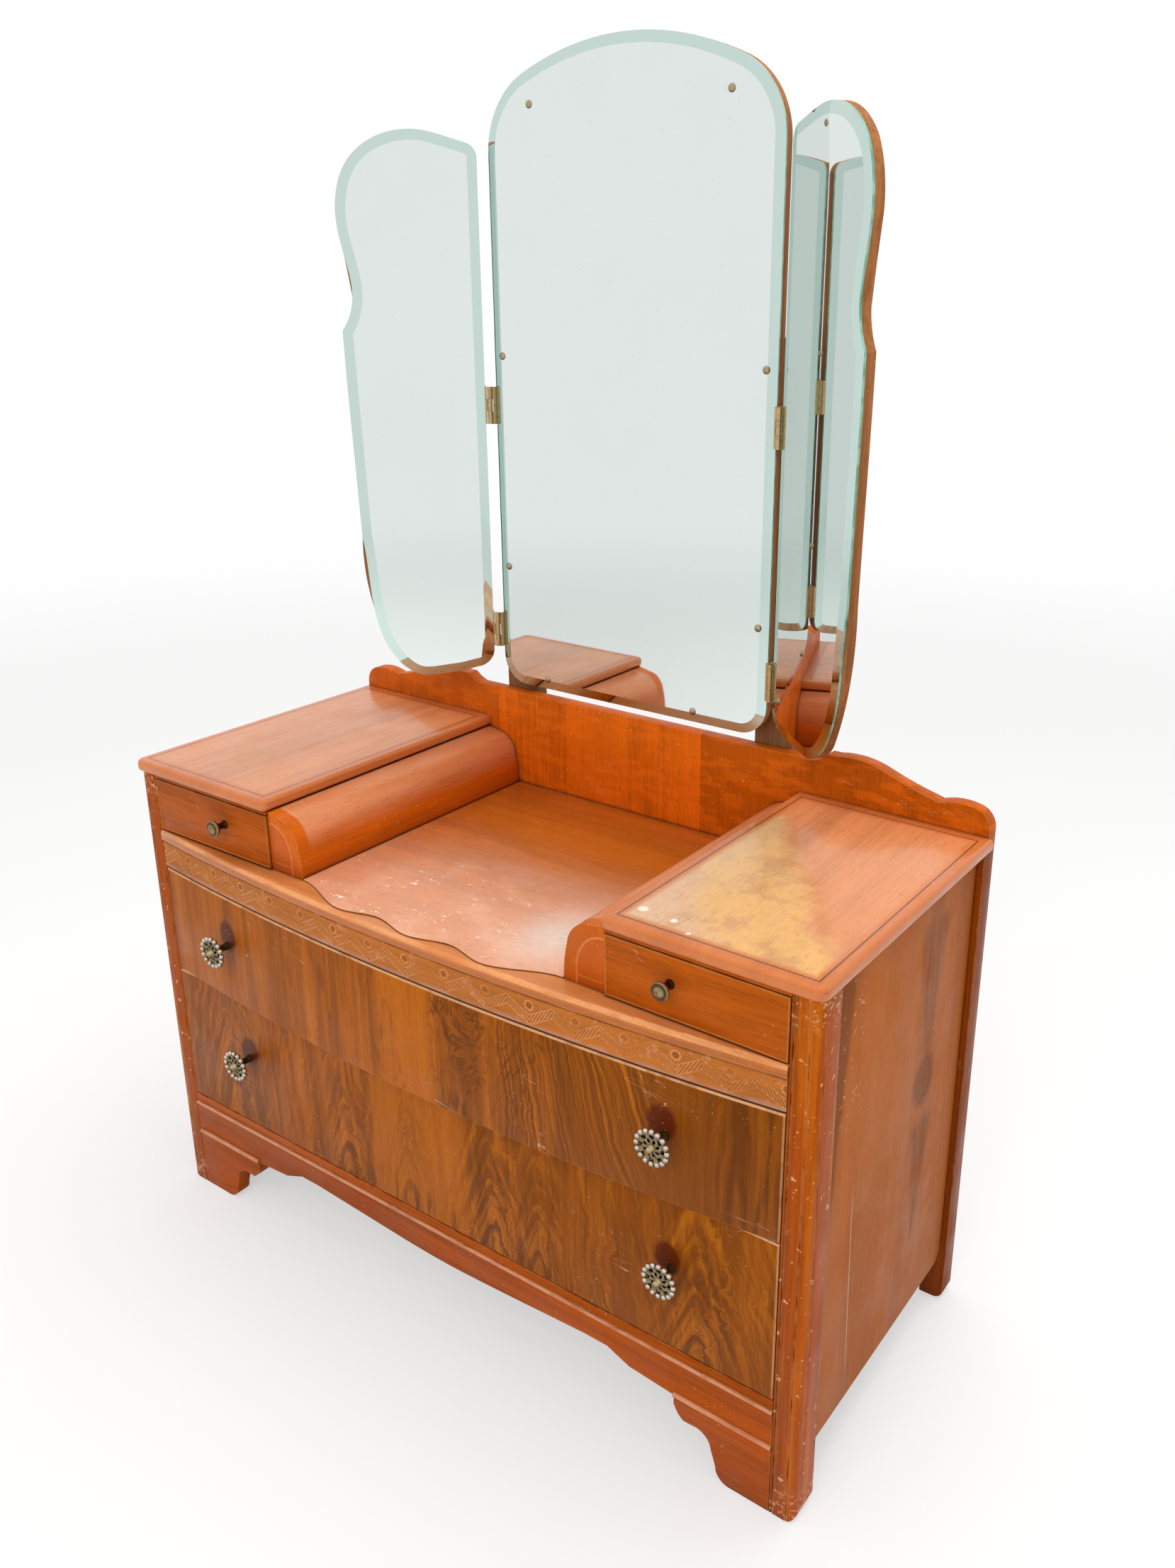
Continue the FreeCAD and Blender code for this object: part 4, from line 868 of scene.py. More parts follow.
def round_corner(mesh, corner, toward_middle, radius, steps=8):
    """Makes one sharp corner of a board, seen from above, a quarter round, its moulded edge with it."""
    run, climb = toward_middle
    centre = Vector((corner[0] + run * radius, corner[1] + climb * radius, 0))
    work = opened(mesh)
    for step in range(steps + 1):
        turn = math.pi / 2 * step / steps
        side = Vector((run * math.sin(turn), -climb * math.cos(turn), 0))
        every = [*work.verts, *work.edges, *work.faces]
        bmesh.ops.bisect_plane(work, geom=every, dist=WELD, plane_co=centre, plane_no=side)
    for vertex in work.verts:
        across = (centre.x - vertex.co.x) * run
        back = (centre.y - vertex.co.y) * climb
        if across > WELD and back > WELD:
            share = max(across, back) / math.hypot(across, back)
            vertex.co.x = centre.x - across * share * run
            vertex.co.y = centre.y - back * share * climb
    flatten(work, 0.2)
    written(work, mesh, outward=False)


def round_edges(piece, width):
    modifier = piece.modifiers.new("rounded_edges", "BEVEL")
    modifier.width = width
    modifier.segments = 2
    modifier.limit_method = "ANGLE"
    modifier.angle_limit = math.radians(40)
    modifier.use_clamp_overlap = True
    settle(piece)


def carry(piece, body, slot, *nodes):
    """The piece rides on its body and hides the nodes it takes the place of; the slot is not used."""
    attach(piece, body)
    if nodes:
        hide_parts(*nodes)


def finish_piece(name, mesh, material, angle, body, slot, *nodes, width=0.0):
    """A mesh as one piece, with softened edges and its finish."""
    piece = new_piece(name, mesh)
    if width:
        round_edges(piece, width)
    smooth(piece.data, angle)
    piece.data.materials.append(material)
    carry(piece, body, slot, *nodes)


def finish_node(node, material, slot, width=0.0):
    """One CAD node as a welded piece with its finish."""
    body = frame["nodes"][node]["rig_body"]
    finish_piece(node + "_finished", merged_copy(node), material, 32, body, slot, node, width=width)


def skin(work, loops):
    """Faces between each loop of points and the next one. A loop of one point is a tip."""
    for near, far in zip(loops, loops[1:]):
        steps = max(len(near), len(far))
        for step in range(steps):
            a, b = step, (step + 1) % steps
            corners = (near[a % len(near)], near[b % len(near)], far[b % len(far)], far[a % len(far)])
            face = list(dict.fromkeys(corners))
            if len(face) > 2:
                work.faces.new(face)


def turns(steps):
    return [2 * math.pi * step / steps for step in range(steps)]


def lathe(profile, steps):
    """A closed shape turned about -Y from (radius, reach) points, its first and last on the axis."""
    work = bmesh.new()
    loops = []
    for radius, reach in profile:
        around = turns(steps if radius else 1)
        loops.append([work.verts.new((radius * math.cos(t), -reach, radius * math.sin(t))) for t in around])
    skin(work, loops)
    return written(work, "turned")


def moved(mesh, place):
    mesh.transform(Matrix.Translation(place))
    return mesh


def join_meshes(name, meshes):
    """Several meshes as one, each keeping its own material."""
    work = bmesh.new()
    materials = []
    for mesh in meshes:
        start = len(work.faces)
        work.from_mesh(mesh)
        work.faces.ensure_lookup_table()
        for face in work.faces[start:]:
            chosen = mesh.materials[face.material_index]
            if chosen not in materials:
                materials.append(chosen)
            face.material_index = materials.index(chosen)
    whole = written(work, name, outward=False)
    for material in materials:
        whole.materials.append(material)
    return whole


# Geometry Nodes

class Layout(Nodes):
    """A Geometry Nodes tree with named inputs, which ends in real mesh of one finish."""

    def __init__(self, name, **sizes):
        super().__init__(bpy.data.node_groups.new(name, "GeometryNodeTree"))
        add_socket = self.tree.interface.new_socket
        for way in ("INPUT", "OUTPUT"):
            add_socket("Geometry", in_out=way, socket_type="NodeSocketGeometry")
        self.inputs = {
            key: add_socket(key.replace("_", " "), socket_type="NodeSocket" + kind).identifier
            for key, kind in {**sizes, "Finish": "Material"}.items()
        }
        self.source = self.add("NodeGroupInput", {}, "Geometry")

    def size(self, key):
        return self.source.other(key.replace("_", " "))

    def close(self, geometry):
        real = self.add("GeometryNodeRealizeInstances", {}, 0, Geometry=geometry)
        painted = self.add("GeometryNodeSetMaterial", {}, 0, Geometry=real, Material=self.size("Finish"))
        self.add("NodeGroupOutput", {}, None, Geometry=painted)
        return self

    def run(self, piece, **values):
        """The tree's result on one object, as plain mesh."""
        modifier = piece.modifiers.new("layout", "NODES")
        modifier.node_group = self.tree
        for key, value in values.items():
            modifier[self.inputs[key]] = value
        return settle(piece)


def clip_layout():
    """One clip at each point of a mesh, turned by the point's own attribute."""
    layout = Layout("clips", Shape="Object", Radius="Float")
    shape = layout.add("GeometryNodeObjectInfo", {}, "Geometry", Object=layout.size("Shape"))
    turn = layout.add(
        "GeometryNodeInputNamedAttribute", {"data_type": "FLOAT_VECTOR"}, "Attribute", Name="turn"
    )
    points = layout.add("GeometryNodeMeshToPoints", {}, 0, Mesh=layout.source)
    rotation = layout.add("FunctionNodeEulerToRotation", {}, 0, Euler=turn)
    scale = layout.vector(layout.size("Radius"), 1.0, layout.size("Radius"))
    return layout.close(layout.add(
        "GeometryNodeInstanceOnPoints", {}, 0, Points=points, Instance=shape, Rotation=rotation, Scale=scale
    ))


def carving_layout():
    """Repeats of a carved tile along a bowed front."""
    layout = Layout(
        "carved_band", Tile="Object", Repeats="Int", Pitch="Float", Bow_Radius="Float", Crest="Float",
        Level="Float",
    )
    repeats, pitch, radius = layout.size("Repeats"), layout.size("Pitch"), layout.size("Bow_Radius")
    line = layout.add(
        "GeometryNodeMeshLine", {"mode": "OFFSET"}, 0, Count=repeats,
        Start_Location=layout.vector(repeats * pitch * -0.5, 0.0, layout.size("Level")),
        Offset=layout.vector(pitch, 0.0, 0.0),
    )
    tile = layout.add("GeometryNodeObjectInfo", {}, "Geometry", Object=layout.size("Tile"))
    placed = layout.add("GeometryNodeInstanceOnPoints", {}, 0, Points=line, Instance=tile)
    real = layout.add("GeometryNodeRealizeInstances", {}, 0, Geometry=placed)
    welded = layout.add("GeometryNodeMergeByDistance", {}, 0, Geometry=real, Distance=WELD * 5)
    place = layout.add("GeometryNodeInputPosition", {}, 0)
    x = layout.add("ShaderNodeSeparateXYZ", {}, "X", Vector=place)
    drop = radius - (radius * radius - x * x).root() + layout.size("Crest")
    return layout.close(layout.add(
        "GeometryNodeSetPosition", {}, 0, Geometry=welded, Offset=layout.vector(0.0, drop, 0.0)
    ))


def pearl_layout():
    """Pearls in a ring that faces the front."""
    layout = Layout("pearl_ring", Pearls="Int", Ring_Radius="Float", Pearl_Radius="Float", Centre="Vector")
    ring = layout.add(
        "GeometryNodeMeshCircle", {}, 0, Vertices=layout.size("Pearls"), Radius=layout.size("Ring_Radius")
    )
    pearl = layout.add(
        "GeometryNodeMeshUVSphere", {}, 0, Segments=14, Rings=9, Radius=layout.size("Pearl_Radius")
    )
    pearl = layout.add("GeometryNodeSetShadeSmooth", {}, 0, Geometry=pearl, Shade_Smooth=True)
    placed = layout.add("GeometryNodeInstanceOnPoints", {}, 0, Points=ring, Instance=pearl)
    return layout.close(layout.add(
        "GeometryNodeTransform", {}, 0, Geometry=placed, Translation=layout.size("Centre"),
        Rotation=(math.pi / 2, 0, 0),
    ))


# Carved band: a flower at each end of a repeat, and a ribbon of slanting strokes that dips between them

RIBBON_SWING = 0.0085
RIBBON_DROP = 0.001
RIBBON_HALF = 0.0055
RIDGE_AWAY = 0.0062
RIDGE_HALF = 0.0011
STROKE_SLANT = 0.6
STROKE_RATE = 820
FLOWER_RADIUS = 0.0078
PETALS = 8
PETAL_AWAY = 0.0056
PETAL_HALF = 0.0024
BUTTON_RADIUS = 0.0016
BORDER = 0.0016


def tile_height(run, climb, pitch, height):
    """How far the carving stands out at one place of a repeat, from 0 to 1."""
    middle = height / 2
    phase = (run / pitch) % 1.0
    dip = (abs(phase - 0.5) * 4 - 1) * RIBBON_SWING
    away = abs(climb - middle + dip + RIBBON_DROP)
    slant = climb * STROKE_SLANT
    strokes = math.sin((run - slant if phase < 0.5 else run + slant) * STROKE_RATE) ** 2
    lift = 0.15 + 0.75 * strokes if away < RIBBON_HALF else 0.30 + 0.20 * strokes
    lift = max(lift, 1.0 - (abs(away - RIDGE_AWAY) / RIDGE_HALF) ** 2)
    for centre in (0.0, pitch):
        dx, dz = run - centre, climb - middle - RIBBON_SWING
        away = math.hypot(dx, dz)
        if away > FLOWER_RADIUS:
            continue
        petals = 0.5 + 0.5 * math.cos(PETALS * math.atan2(dz, dx))
        ring = max(0.0, 1 - ((away - PETAL_AWAY) / PETAL_HALF) ** 2) * (0.70 + 0.30 * petals)
        button = max(0.0, 1 - (away / BUTTON_RADIUS) ** 2)
        lift = max(0.05, ring, button * 0.6)
    return lift * min(1.0, min(climb, height - climb) / BORDER)


def carved_tile(pitch, height, relief, across=62, up=40):
    """One repeat of the carved band as a fine grid, its relief towards -Y."""
    work = bmesh.new()
    rows = []
    lifts = []
    for j in range(up + 1):
        climb = height * j / up
        rows.append([])
        for i in range(across + 1):
            run = pitch * i / across
            lifts.append(tile_height(run, climb, pitch, height))
            rows[-1].append(work.verts.new((run, -relief * lifts[-1], climb)))
    for low, high in zip(rows, rows[1:]):
        for i in range(across):
            work.faces.new((low[i], low[i + 1], high[i + 1], high[i]))
    mesh = written(work, "carved_tile", outward=False)
    mesh.attributes.new("lift", "FLOAT", "POINT").data.foreach_set("value", lifts)
    return new_piece("carved_tile", mesh)


# Pierced plate of a knob

PLATE_RINGS = 11
PLATE_TURNS = 96
LOOPS = 8
HUB = 0.0032
LOOP_SWAY = 0.0009
LOOP_LIFT = 0.0005
RIM_LIFT = 0.0012


def plate_hole(ring, turn):
    """True where the plate is cut through, in an inner and an outer row of loops."""
    share = (ring + 0.5) / PLATE_RINGS
    wave = math.cos(LOOPS * 2 * math.pi * (turn + 0.5) / PLATE_TURNS)
    return 0.16 < share < 0.44 and wave < 0.15 or 0.50 < share < 0.80 and wave > -0.1


def pierced_plate(radius, thick, boss):
    """A domed plate cut through with loops, and a boss in its middle."""
    work = bmesh.new()
    front, back = [], []
    for ring in range(PLATE_RINGS + 1):
        share = ring / PLATE_RINGS
        bulge = math.sin(math.pi * share)
        dome = boss * 0.45 * (1 - share) ** 1.5 + RIM_LIFT * math.exp(-((share - 0.86) / 0.1) ** 2)
        row = []
        for angle in turns(PLATE_TURNS):
            away = HUB + (radius - HUB) * share + LOOP_SWAY * math.sin(2 * LOOPS * angle) * bulge
            lift = dome + LOOP_LIFT * math.cos(LOOPS * angle) * bulge
            row.append((away * math.cos(angle), away * math.sin(angle), lift))
        front.append([work.verts.new((x, -thick - lift, z)) for x, z, lift in row])
        back.append([work.verts.new((x, -lift, z)) for x, z, lift in row])
    solid = [[not plate_hole(ring, turn) for turn in range(PLATE_TURNS)] for ring in range(PLATE_RINGS)]
    solid.append([False] * PLATE_TURNS)
    for ring in range(PLATE_RINGS):
        for turn in range(PLATE_TURNS):
            if not solid[ring][turn]:
                continue
            after = (turn + 1) % PLATE_TURNS
            corners = ((ring, turn), (ring, after), (ring + 1, after), (ring + 1, turn))
            work.faces.new([front[i][j] for i, j in corners])
            work.faces.new([back[i][j] for i, j in reversed(corners)])
            beside = (
                solid[ring - 1][turn], solid[ring][after], solid[ring + 1][turn], solid[ring][turn - 1]
            )
            for (a, b), (c, d), joined in zip(corners, (*corners[1:], corners[0]), beside):
                if not joined:
                    work.faces.new((front[a][b], back[a][b], back[c][d], front[c][d]))
    return written(work, "pierced_plate")


# Operators, one for each group of pieces

class DRESSER_OT_studio(bpy.types.Operator):
    """Sets up the floor, the soft lights and the camera"""

    bl_idname = "dresser.studio"
    bl_label = "Studio"

    FLOOR_RADIUS = 14
    FLOOR_LEVEL = -0.0005
    FADE = (2.2, 5.5)
    AIM = (0, 0, 0.6)
    LAMPS = (("key", (0.9, -3.0, 2.9), 2.6), ("overhead", (0.5, 0.6, 3.4), 2.4))

    def execute(self, context):
        studio = context.scene.studio_sizes
        self.make_floor(studio)
        self.make_world(context.scene, studio)
        for key, place, size in self.LAMPS:
            self.make_lamp(key + "_light", place, size, getattr(studio, key))
        self.make_camera(context.scene, studio)
        return {"FINISHED"}

    def make_floor(self, studio):
        work = bmesh.new()
        bmesh.ops.create_circle(work, cap_ends=True, segments=96, radius=self.FLOOR_RADIUS)
        mesh = moved(written(work, "floor", outward=False), (0, 0, self.FLOOR_LEVEL))
        floor = new_piece("floor", mesh)
        finish = Finish("floor_paint")
        base = tuple(studio.floor)
        colour = finish.blend(finish.noise(2, 3) * 0.2, base, shade(base, 0.94))
        paint = finish.add("ShaderNodeBsdfDiffuse", {}, 0, Color=colour)
        plain_white = finish.add("ShaderNodeEmission", {}, 0, Color=WHITE, Strength=1.0)
        seen = finish.add("ShaderNodeLightPath", {}, "Is Camera Ray")
        paint = finish.add("ShaderNodeMixShader", {}, 0, seen * studio.whiteness, paint, plain_white)
        clear = finish.add("ShaderNodeBsdfTransparent", {}, 0)
        away = (finish.x.power(2) + finish.y.power(2)).root()
        faded = finish.add("ShaderNodeMixShader", {}, 0, away.rise(*self.FADE), paint, clear)
        mesh.materials.append(finish.output(faded))

    def make_world(self, scene, studio):
        scene.world = bpy.data.worlds.new("studio_world")
        scene.world.use_nodes = True
        scene.view_settings.view_transform = "Standard"
        nodes = Nodes(scene.world.node_tree)
        seen = nodes.add("ShaderNodeLightPath", {}, "Is Camera Ray")
        seen = seen.upper(seen.other("Is Glossy Ray")).upper(seen.other("Is Transmission Ray"))
        plain = nodes.add("ShaderNodeBackground", {}, 0, Color=WHITE, Strength=studio.ambient)
        shown = nodes.add("ShaderNodeBackground", {}, 0, Color=tuple(studio.background))
        mixed = nodes.add("ShaderNodeMixShader", {}, 0, seen, plain, shown)
        nodes.add("ShaderNodeOutputWorld", {}, None, Surface=mixed)

    def make_lamp(self, name, place, size, power):
        light = bpy.data.lights.new(name, "AREA")
        light.shape = "DISK"
        light.size = size
        light.energy = power
        lamp = new_piece(name, light)
        lamp.visible_glossy = False
        aim = Vector(self.AIM) - Vector(place)
        lamp.matrix_world = Matrix.Translation(place) @ aim.to_track_quat("-Z", "Y").to_matrix().to_4x4()

    def make_camera(self, scene, studio):
        turn, lift, roll = studio.azimuth, studio.elevation, studio.roll
        back = Vector((math.sin(turn) * math.cos(lift), -math.cos(turn) * math.cos(lift), math.sin(lift)))
        level = Vector((math.cos(turn), math.sin(turn), 0))
        upright = back.cross(level)
        right = level * math.cos(roll) + upright * math.sin(roll)
        up = upright * math.cos(roll) - level * math.sin(roll)
        lens = bpy.data.cameras.new("camera")
        lens.sensor_fit = "VERTICAL"
        lens.sensor_height = 36
        lens.lens = studio.lens
        lens.shift_x, lens.shift_y = studio.shift
        lens.clip_start = 0.05
        scene.camera = new_piece("camera", lens)
        axes = Matrix((right, up, back)).transposed().to_4x4()
        scene.camera.matrix_world = Matrix.Translation(studio.place) @ axes


class DRESSER_OT_carcase(bpy.types.Operator):
    """Finishes the posts, sides, rail, feet and the boards inside"""

    bl_idname = "dresser.carcase"
    bl_label = "Carcase"

    def execute(self, context):
        base = tone("carcase")
        redder = shade(base, 1.08)
        rail = wood("rail_walnut", redder, "X", bead_marks("bottom_rail", 0.0135, 0.006), 0.70, 1.30)
        foot_marks = bead_marks("bracket_foot_left", 0.0, 0.008)
        boards = (
            ("front_post_", 0.0006, wood(
                "post_walnut", base, "Z", post_marks, 0.72, 1.25, bands=40, fleck=1.8
            )),
            # Rear posts: a darker copy of the carcase walnut, painted shade for where they stand under the
            # carcase
            ("rear_post_", 0.0012, wood(
                "rear_post_walnut", shade(base, 0.62), "Z", None, 0.7, 1.3, bands=40
            )),
            ("side_panel_", 0.0010, wood(
                "side_veneer", tone("side"), "Z", side_marks, 0.84, 1.12, gloss=0.45, shine=0.18, bands=15
            )),
            ("bracket_foot_", 0.0006, wood("foot_walnut", shade(base, 1.05), "X", foot_marks, 0.75, 1.25)),
            ("fascia_", 0.0005, wood("fascia_walnut", redder, "X", None, 0.75, 1.25)),
        )
        for side in SIDES:
            for name, width, material in boards:
                finish_node(name + side, material, "stained_walnut", width)
        finish_node("bottom_rail", rail, "stained_walnut", 0.0006)
        rough = plain_wood("bare_boards", tone("back"))
        for node in ("back_panel", "bottom_board", "dust_board"):
            finish_node(node, rough, "plywood" if node == "back_panel" else "plain_wood")
        return {"FINISHED"}


class DRESSER_OT_tops(bpy.types.Operator):
    """Finishes the deck, the pedestal tops, the quadrant blocks and the gallery"""

    bl_idname = "dresser.tops"
    bl_label = "Tops and gallery"

    WAVE_DEPTH = 0.030
    WAVE_STEPS = 96
    WAVE = ((0, 0), (0.283, 0.42), (0.54, 0.05), (1, 1.0))

    def execute(self, context):
        sizes = context.scene.fitting_sizes
        gallery = tone("gallery")
        deck = wood(
            "deck_walnut", tone("deck"), "X", nosing_marks, 0.75, 1.2, gloss=0.26, coat=0.3, shine=0.5
        )
        finish_node("deck_board", deck, "stained_walnut", 0.0005)
        self.make_panel(wood(
            "deck_panel_walnut", tone("panel"), "X", deck_marks, 0.80, 1.15, gloss=0.3, coat=0.15, shine=0.3
        ))
        for side in SIDES:
            self.make_slab("pedestal_top_" + side, SIGNS[side], sizes, wood(
                "pedestal_top_walnut_" + side, tone("top"), "Y", top_marks(side), 0.82, 1.14, gloss=0.24,
                coat=0.4, shine=0.5,
            ))
            block = wood(
                "quadrant_walnut_" + side, shade(gallery, 0.95), "Y", quadrant_marks(side), 0.80, 1.15,
                gloss=0.28, shine=0.4, bands=16,
            )
            finish_node("quadrant_" + side, block, "stained_walnut", 0.0004)
        back = wood("gallery_veneer", shade(gallery, 1.04), "Z", gallery_marks, 0.72, 1.22, bands=16)
        finish_node("gallery_board", back, "stained_walnut", 0.0008)
        return {"FINISHED"}

    def make_slab(self, node, sign, sizes, material):
        """A pedestal top with its two front corners rounded."""
        mesh = merged_copy(node)
        low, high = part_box(node)
        outer, inner = (high.x, low.x) if sign > 0 else (low.x, high.x)
        round_corner(mesh, (outer, low.y), (-sign, 1), sizes.outer_corner)
        round_corner(mesh, (inner, low.y), (sign, 1), sizes.inner_corner)
        finish_piece(node + "_finished", mesh, material, 32, "carcase", "stained_walnut", node)

    def make_panel(self, material):
        """The raised panel of the deck, its front edge drawn as one smooth wave."""
        low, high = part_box("deck_overlay")
        outline = [(high.x, high.y), (-high.x, high.y)]
        for step in range(self.WAVE_STEPS + 1):
            x = high.x * (2 * step / self.WAVE_STEPS - 1)
            outline.append((x, low.y + self.WAVE_DEPTH * self.wave(abs(x) / high.x)))
        work = bmesh.new()
        face = work.faces.new([work.verts.new((x, y, high.z)) for x, y in outline])
        wall = bmesh.ops.extrude_face_region(work, geom=[face])
        for vertex in (item for item in wall["geom"] if isinstance(item, bmesh.types.BMVert)):
            vertex.co.z = low.z
        finish_piece(
            "deck_panel_finished", written(work, "deck_panel"), material, 32, "carcase", "stained_walnut",
            "deck_overlay", width=0.0006,
        )

    def wave(self, share):
        """How far the front edge is drawn back at a share of the half width."""
        for (start, first), (end, last) in zip(self.WAVE, self.WAVE[1:]):
            if share <= end:
                run = (share - start) / (end - start)
                return first + (last - first) * run * run * (3 - 2 * run)
        return self.WAVE[-1][1]


class DRESSER_OT_frieze(bpy.types.Operator):
    """Lays the carved band along the bowed frieze"""

    bl_idname = "dresser.frieze"
    bl_label = "Carved frieze"

    PROUD = WELD * 5
    LIFT = 0.0005

    def execute(self, context):
        carving = context.scene.carving_sizes
        material = carved_wood("frieze_walnut")
        finish_node("frieze_board", material, "carved_frieze", 0.0005)
        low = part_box("frieze_board")[0]
        tile = carved_tile(carving.pitch, carving.height, carving.relief)
        band = new_piece("frieze_carving", bpy.data.meshes.new("frieze_carving"))
        carving_layout().run(
            band, Tile=tile, Repeats=carving.repeats, Pitch=carving.pitch, Bow_Radius=carving.bow_radius,
            Crest=low.y - self.PROUD, Level=low.z + self.LIFT, Finish=material,
        )
        bpy.data.objects.remove(tile)
        smooth(band.data, 60)
        carry(band, "carcase", "carved_frieze")
        return {"FINISHED"}


class DRESSER_OT_long_fronts(bpy.types.Operator):
    """Finishes the two long drawer fronts in figured veneer"""

    bl_idname = "dresser.long_fronts"
    bl_label = "Long drawer fronts"

    def execute(self, context):
        base = tone("front")
        light = toward(base, tone("gold"), 0.55)
        fronts = (("upper", upper_front_marks, 0.66, 30), ("lower", lower_front_marks, 0.60, 34))
        for name, marks, dark, bands in fronts:
            veneer = wood(
                name + "_front_veneer", base, "Z", marks, dark, gold=light, bands=bands, wander=0.05
            )
            finish_node(name + "_drawer_front", veneer, "figured_veneer", 0.0010)
        return {"FINISHED"}


class DRESSER_OT_small_fronts(bpy.types.Operator):
    """Finishes the small drawer fronts with the raised bead round each"""

    bl_idname = "dresser.small_fronts"
    bl_label = "Small drawer fronts"

    SINK = 0.0006
    STEPS = 10
    CORNERS = ((-1, -1), (1, -1), (1, 1), (-1, 1))

    def execute(self, context):
        veneer = wood("small_front_veneer", tone("small_front"), "X", small_front_marks, 0.7, 1.25)
        rim = wood("bead_walnut", tone("bead"), "X", None, 0.7, 1.3)
        for side in SIDES:
            finish_node("small_drawer_" + side + "_front", veneer, "stained_walnut", 0.0010)
            self.make_bead("small_drawer_" + side, context.scene.fitting_sizes.bead_radius, rim)
        return {"FINISHED"}

    def make_bead(self, drawer, radius, rim):
        """A half round bead along the four edges of a front."""
        low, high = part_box(drawer + "_front")
        centre = Vector(((low.x + high.x) / 2, low.y + self.SINK, (low.z + high.z) / 2))
        half_x, half_z = (high.x - low.x) / 2 - radius, (high.z - low.z) / 2 - radius
        work = bmesh.new()
        loops = []
        for angle in turns(self.STEPS):
            out, front = radius * math.cos(angle), -radius * math.sin(angle)
            loops.append([
                work.verts.new(centre + Vector((sx * (half_x + out), front, sz * (half_z + out))))
                for sx, sz in self.CORNERS
            ])
        skin(work, [*loops, loops[0]])
        finish_piece(drawer + "_bead", written(work, "bead"), rim, 50, drawer, "stained_walnut")


class DRESSER_OT_drawer_boxes(bpy.types.Operator):
    """Finishes the drawer boxes behind the fronts"""

    bl_idname = "dresser.drawer_boxes"
    bl_label = "Drawer boxes"

    def execute(self, context):
        inside = tone("inside")
        frame_wood = plain_wood("drawer_side_wood", inside, "Y")
        bottom_wood = plain_wood("drawer_bottom_board", shade(inside, 0.85), "X", 0.7)
        for drawer in DRAWERS:
            finish_node(drawer + "_frame", frame_wood, "drawer_wood", 0.0008)
            finish_node(drawer + "_bottom", bottom_wood, "plywood")
        return {"FINISHED"}


class DRESSER_OT_mirrors(bpy.types.Operator):
    """Finishes the three glasses with their bevels, the back boards and the standards"""

    bl_idname = "dresser.mirrors"
    bl_label = "Mirrors"

    FLAT = 0.9999
    BEVEL = 0.8

    def execute(self, context):
        silver = mirror_finish("silvered_glass", (0.74, 0.79, 0.77), 0.015)
        slope = mirror_finish("bevelled_glass", (0.56, 0.68, 0.64), 0.03)
        edge = glass_edge("glass_edge_green")
        backing = wood("mirror_back_walnut", tone("mirror_back"), "Z", None, 0.6, 1.3, gloss=0.5, fleck=0.4)
        rough = plain_wood("standard_wood", shade(tone("back"), 1.1), "Z")
        for mirror in ("mirror", "wing_left", "wing_right"):
            self.finish_glass(mirror + "_glass", silver, slope, edge)
        for mirror in ("mirror", "wing_left", "wing_right"):
            finish_node(mirror + "_board", backing, "plain_wood", 0.0010)
        for node in ("mirror_standard_left", "mirror_standard_right", "batten_lower", "batten_upper"):
            finish_node(node, rough, "plain_wood", 0.0015)
        return {"FINISHED"}

    def finish_glass(self, node, *materials):
        """A glass with its own finish on its face, on its bevel and on its edge."""
        piece = new_piece(node + "_finished", merged_copy(node))
        mesh = piece.data
        smooth(mesh, 12)
        for material in materials:
            mesh.materials.append(material)
        work = opened(mesh)
        widest = max(work.faces, key=lambda face: face.calc_area() * (face.normal.y < 0)).normal.copy()
        for face in work.faces:
            match = face.normal.dot(widest)
            face.material_index = 0 if match > self.FLAT else 1 if match > self.BEVEL else 2
            face.smooth = face.material_index > 0
        for line in work.edges:
            if len({face.material_index for face in line.link_faces}) > 1:
                line.smooth = False
        written(work, mesh, outward=False)
        carry(piece, frame["nodes"][node]["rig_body"], "mirror_glass", node)


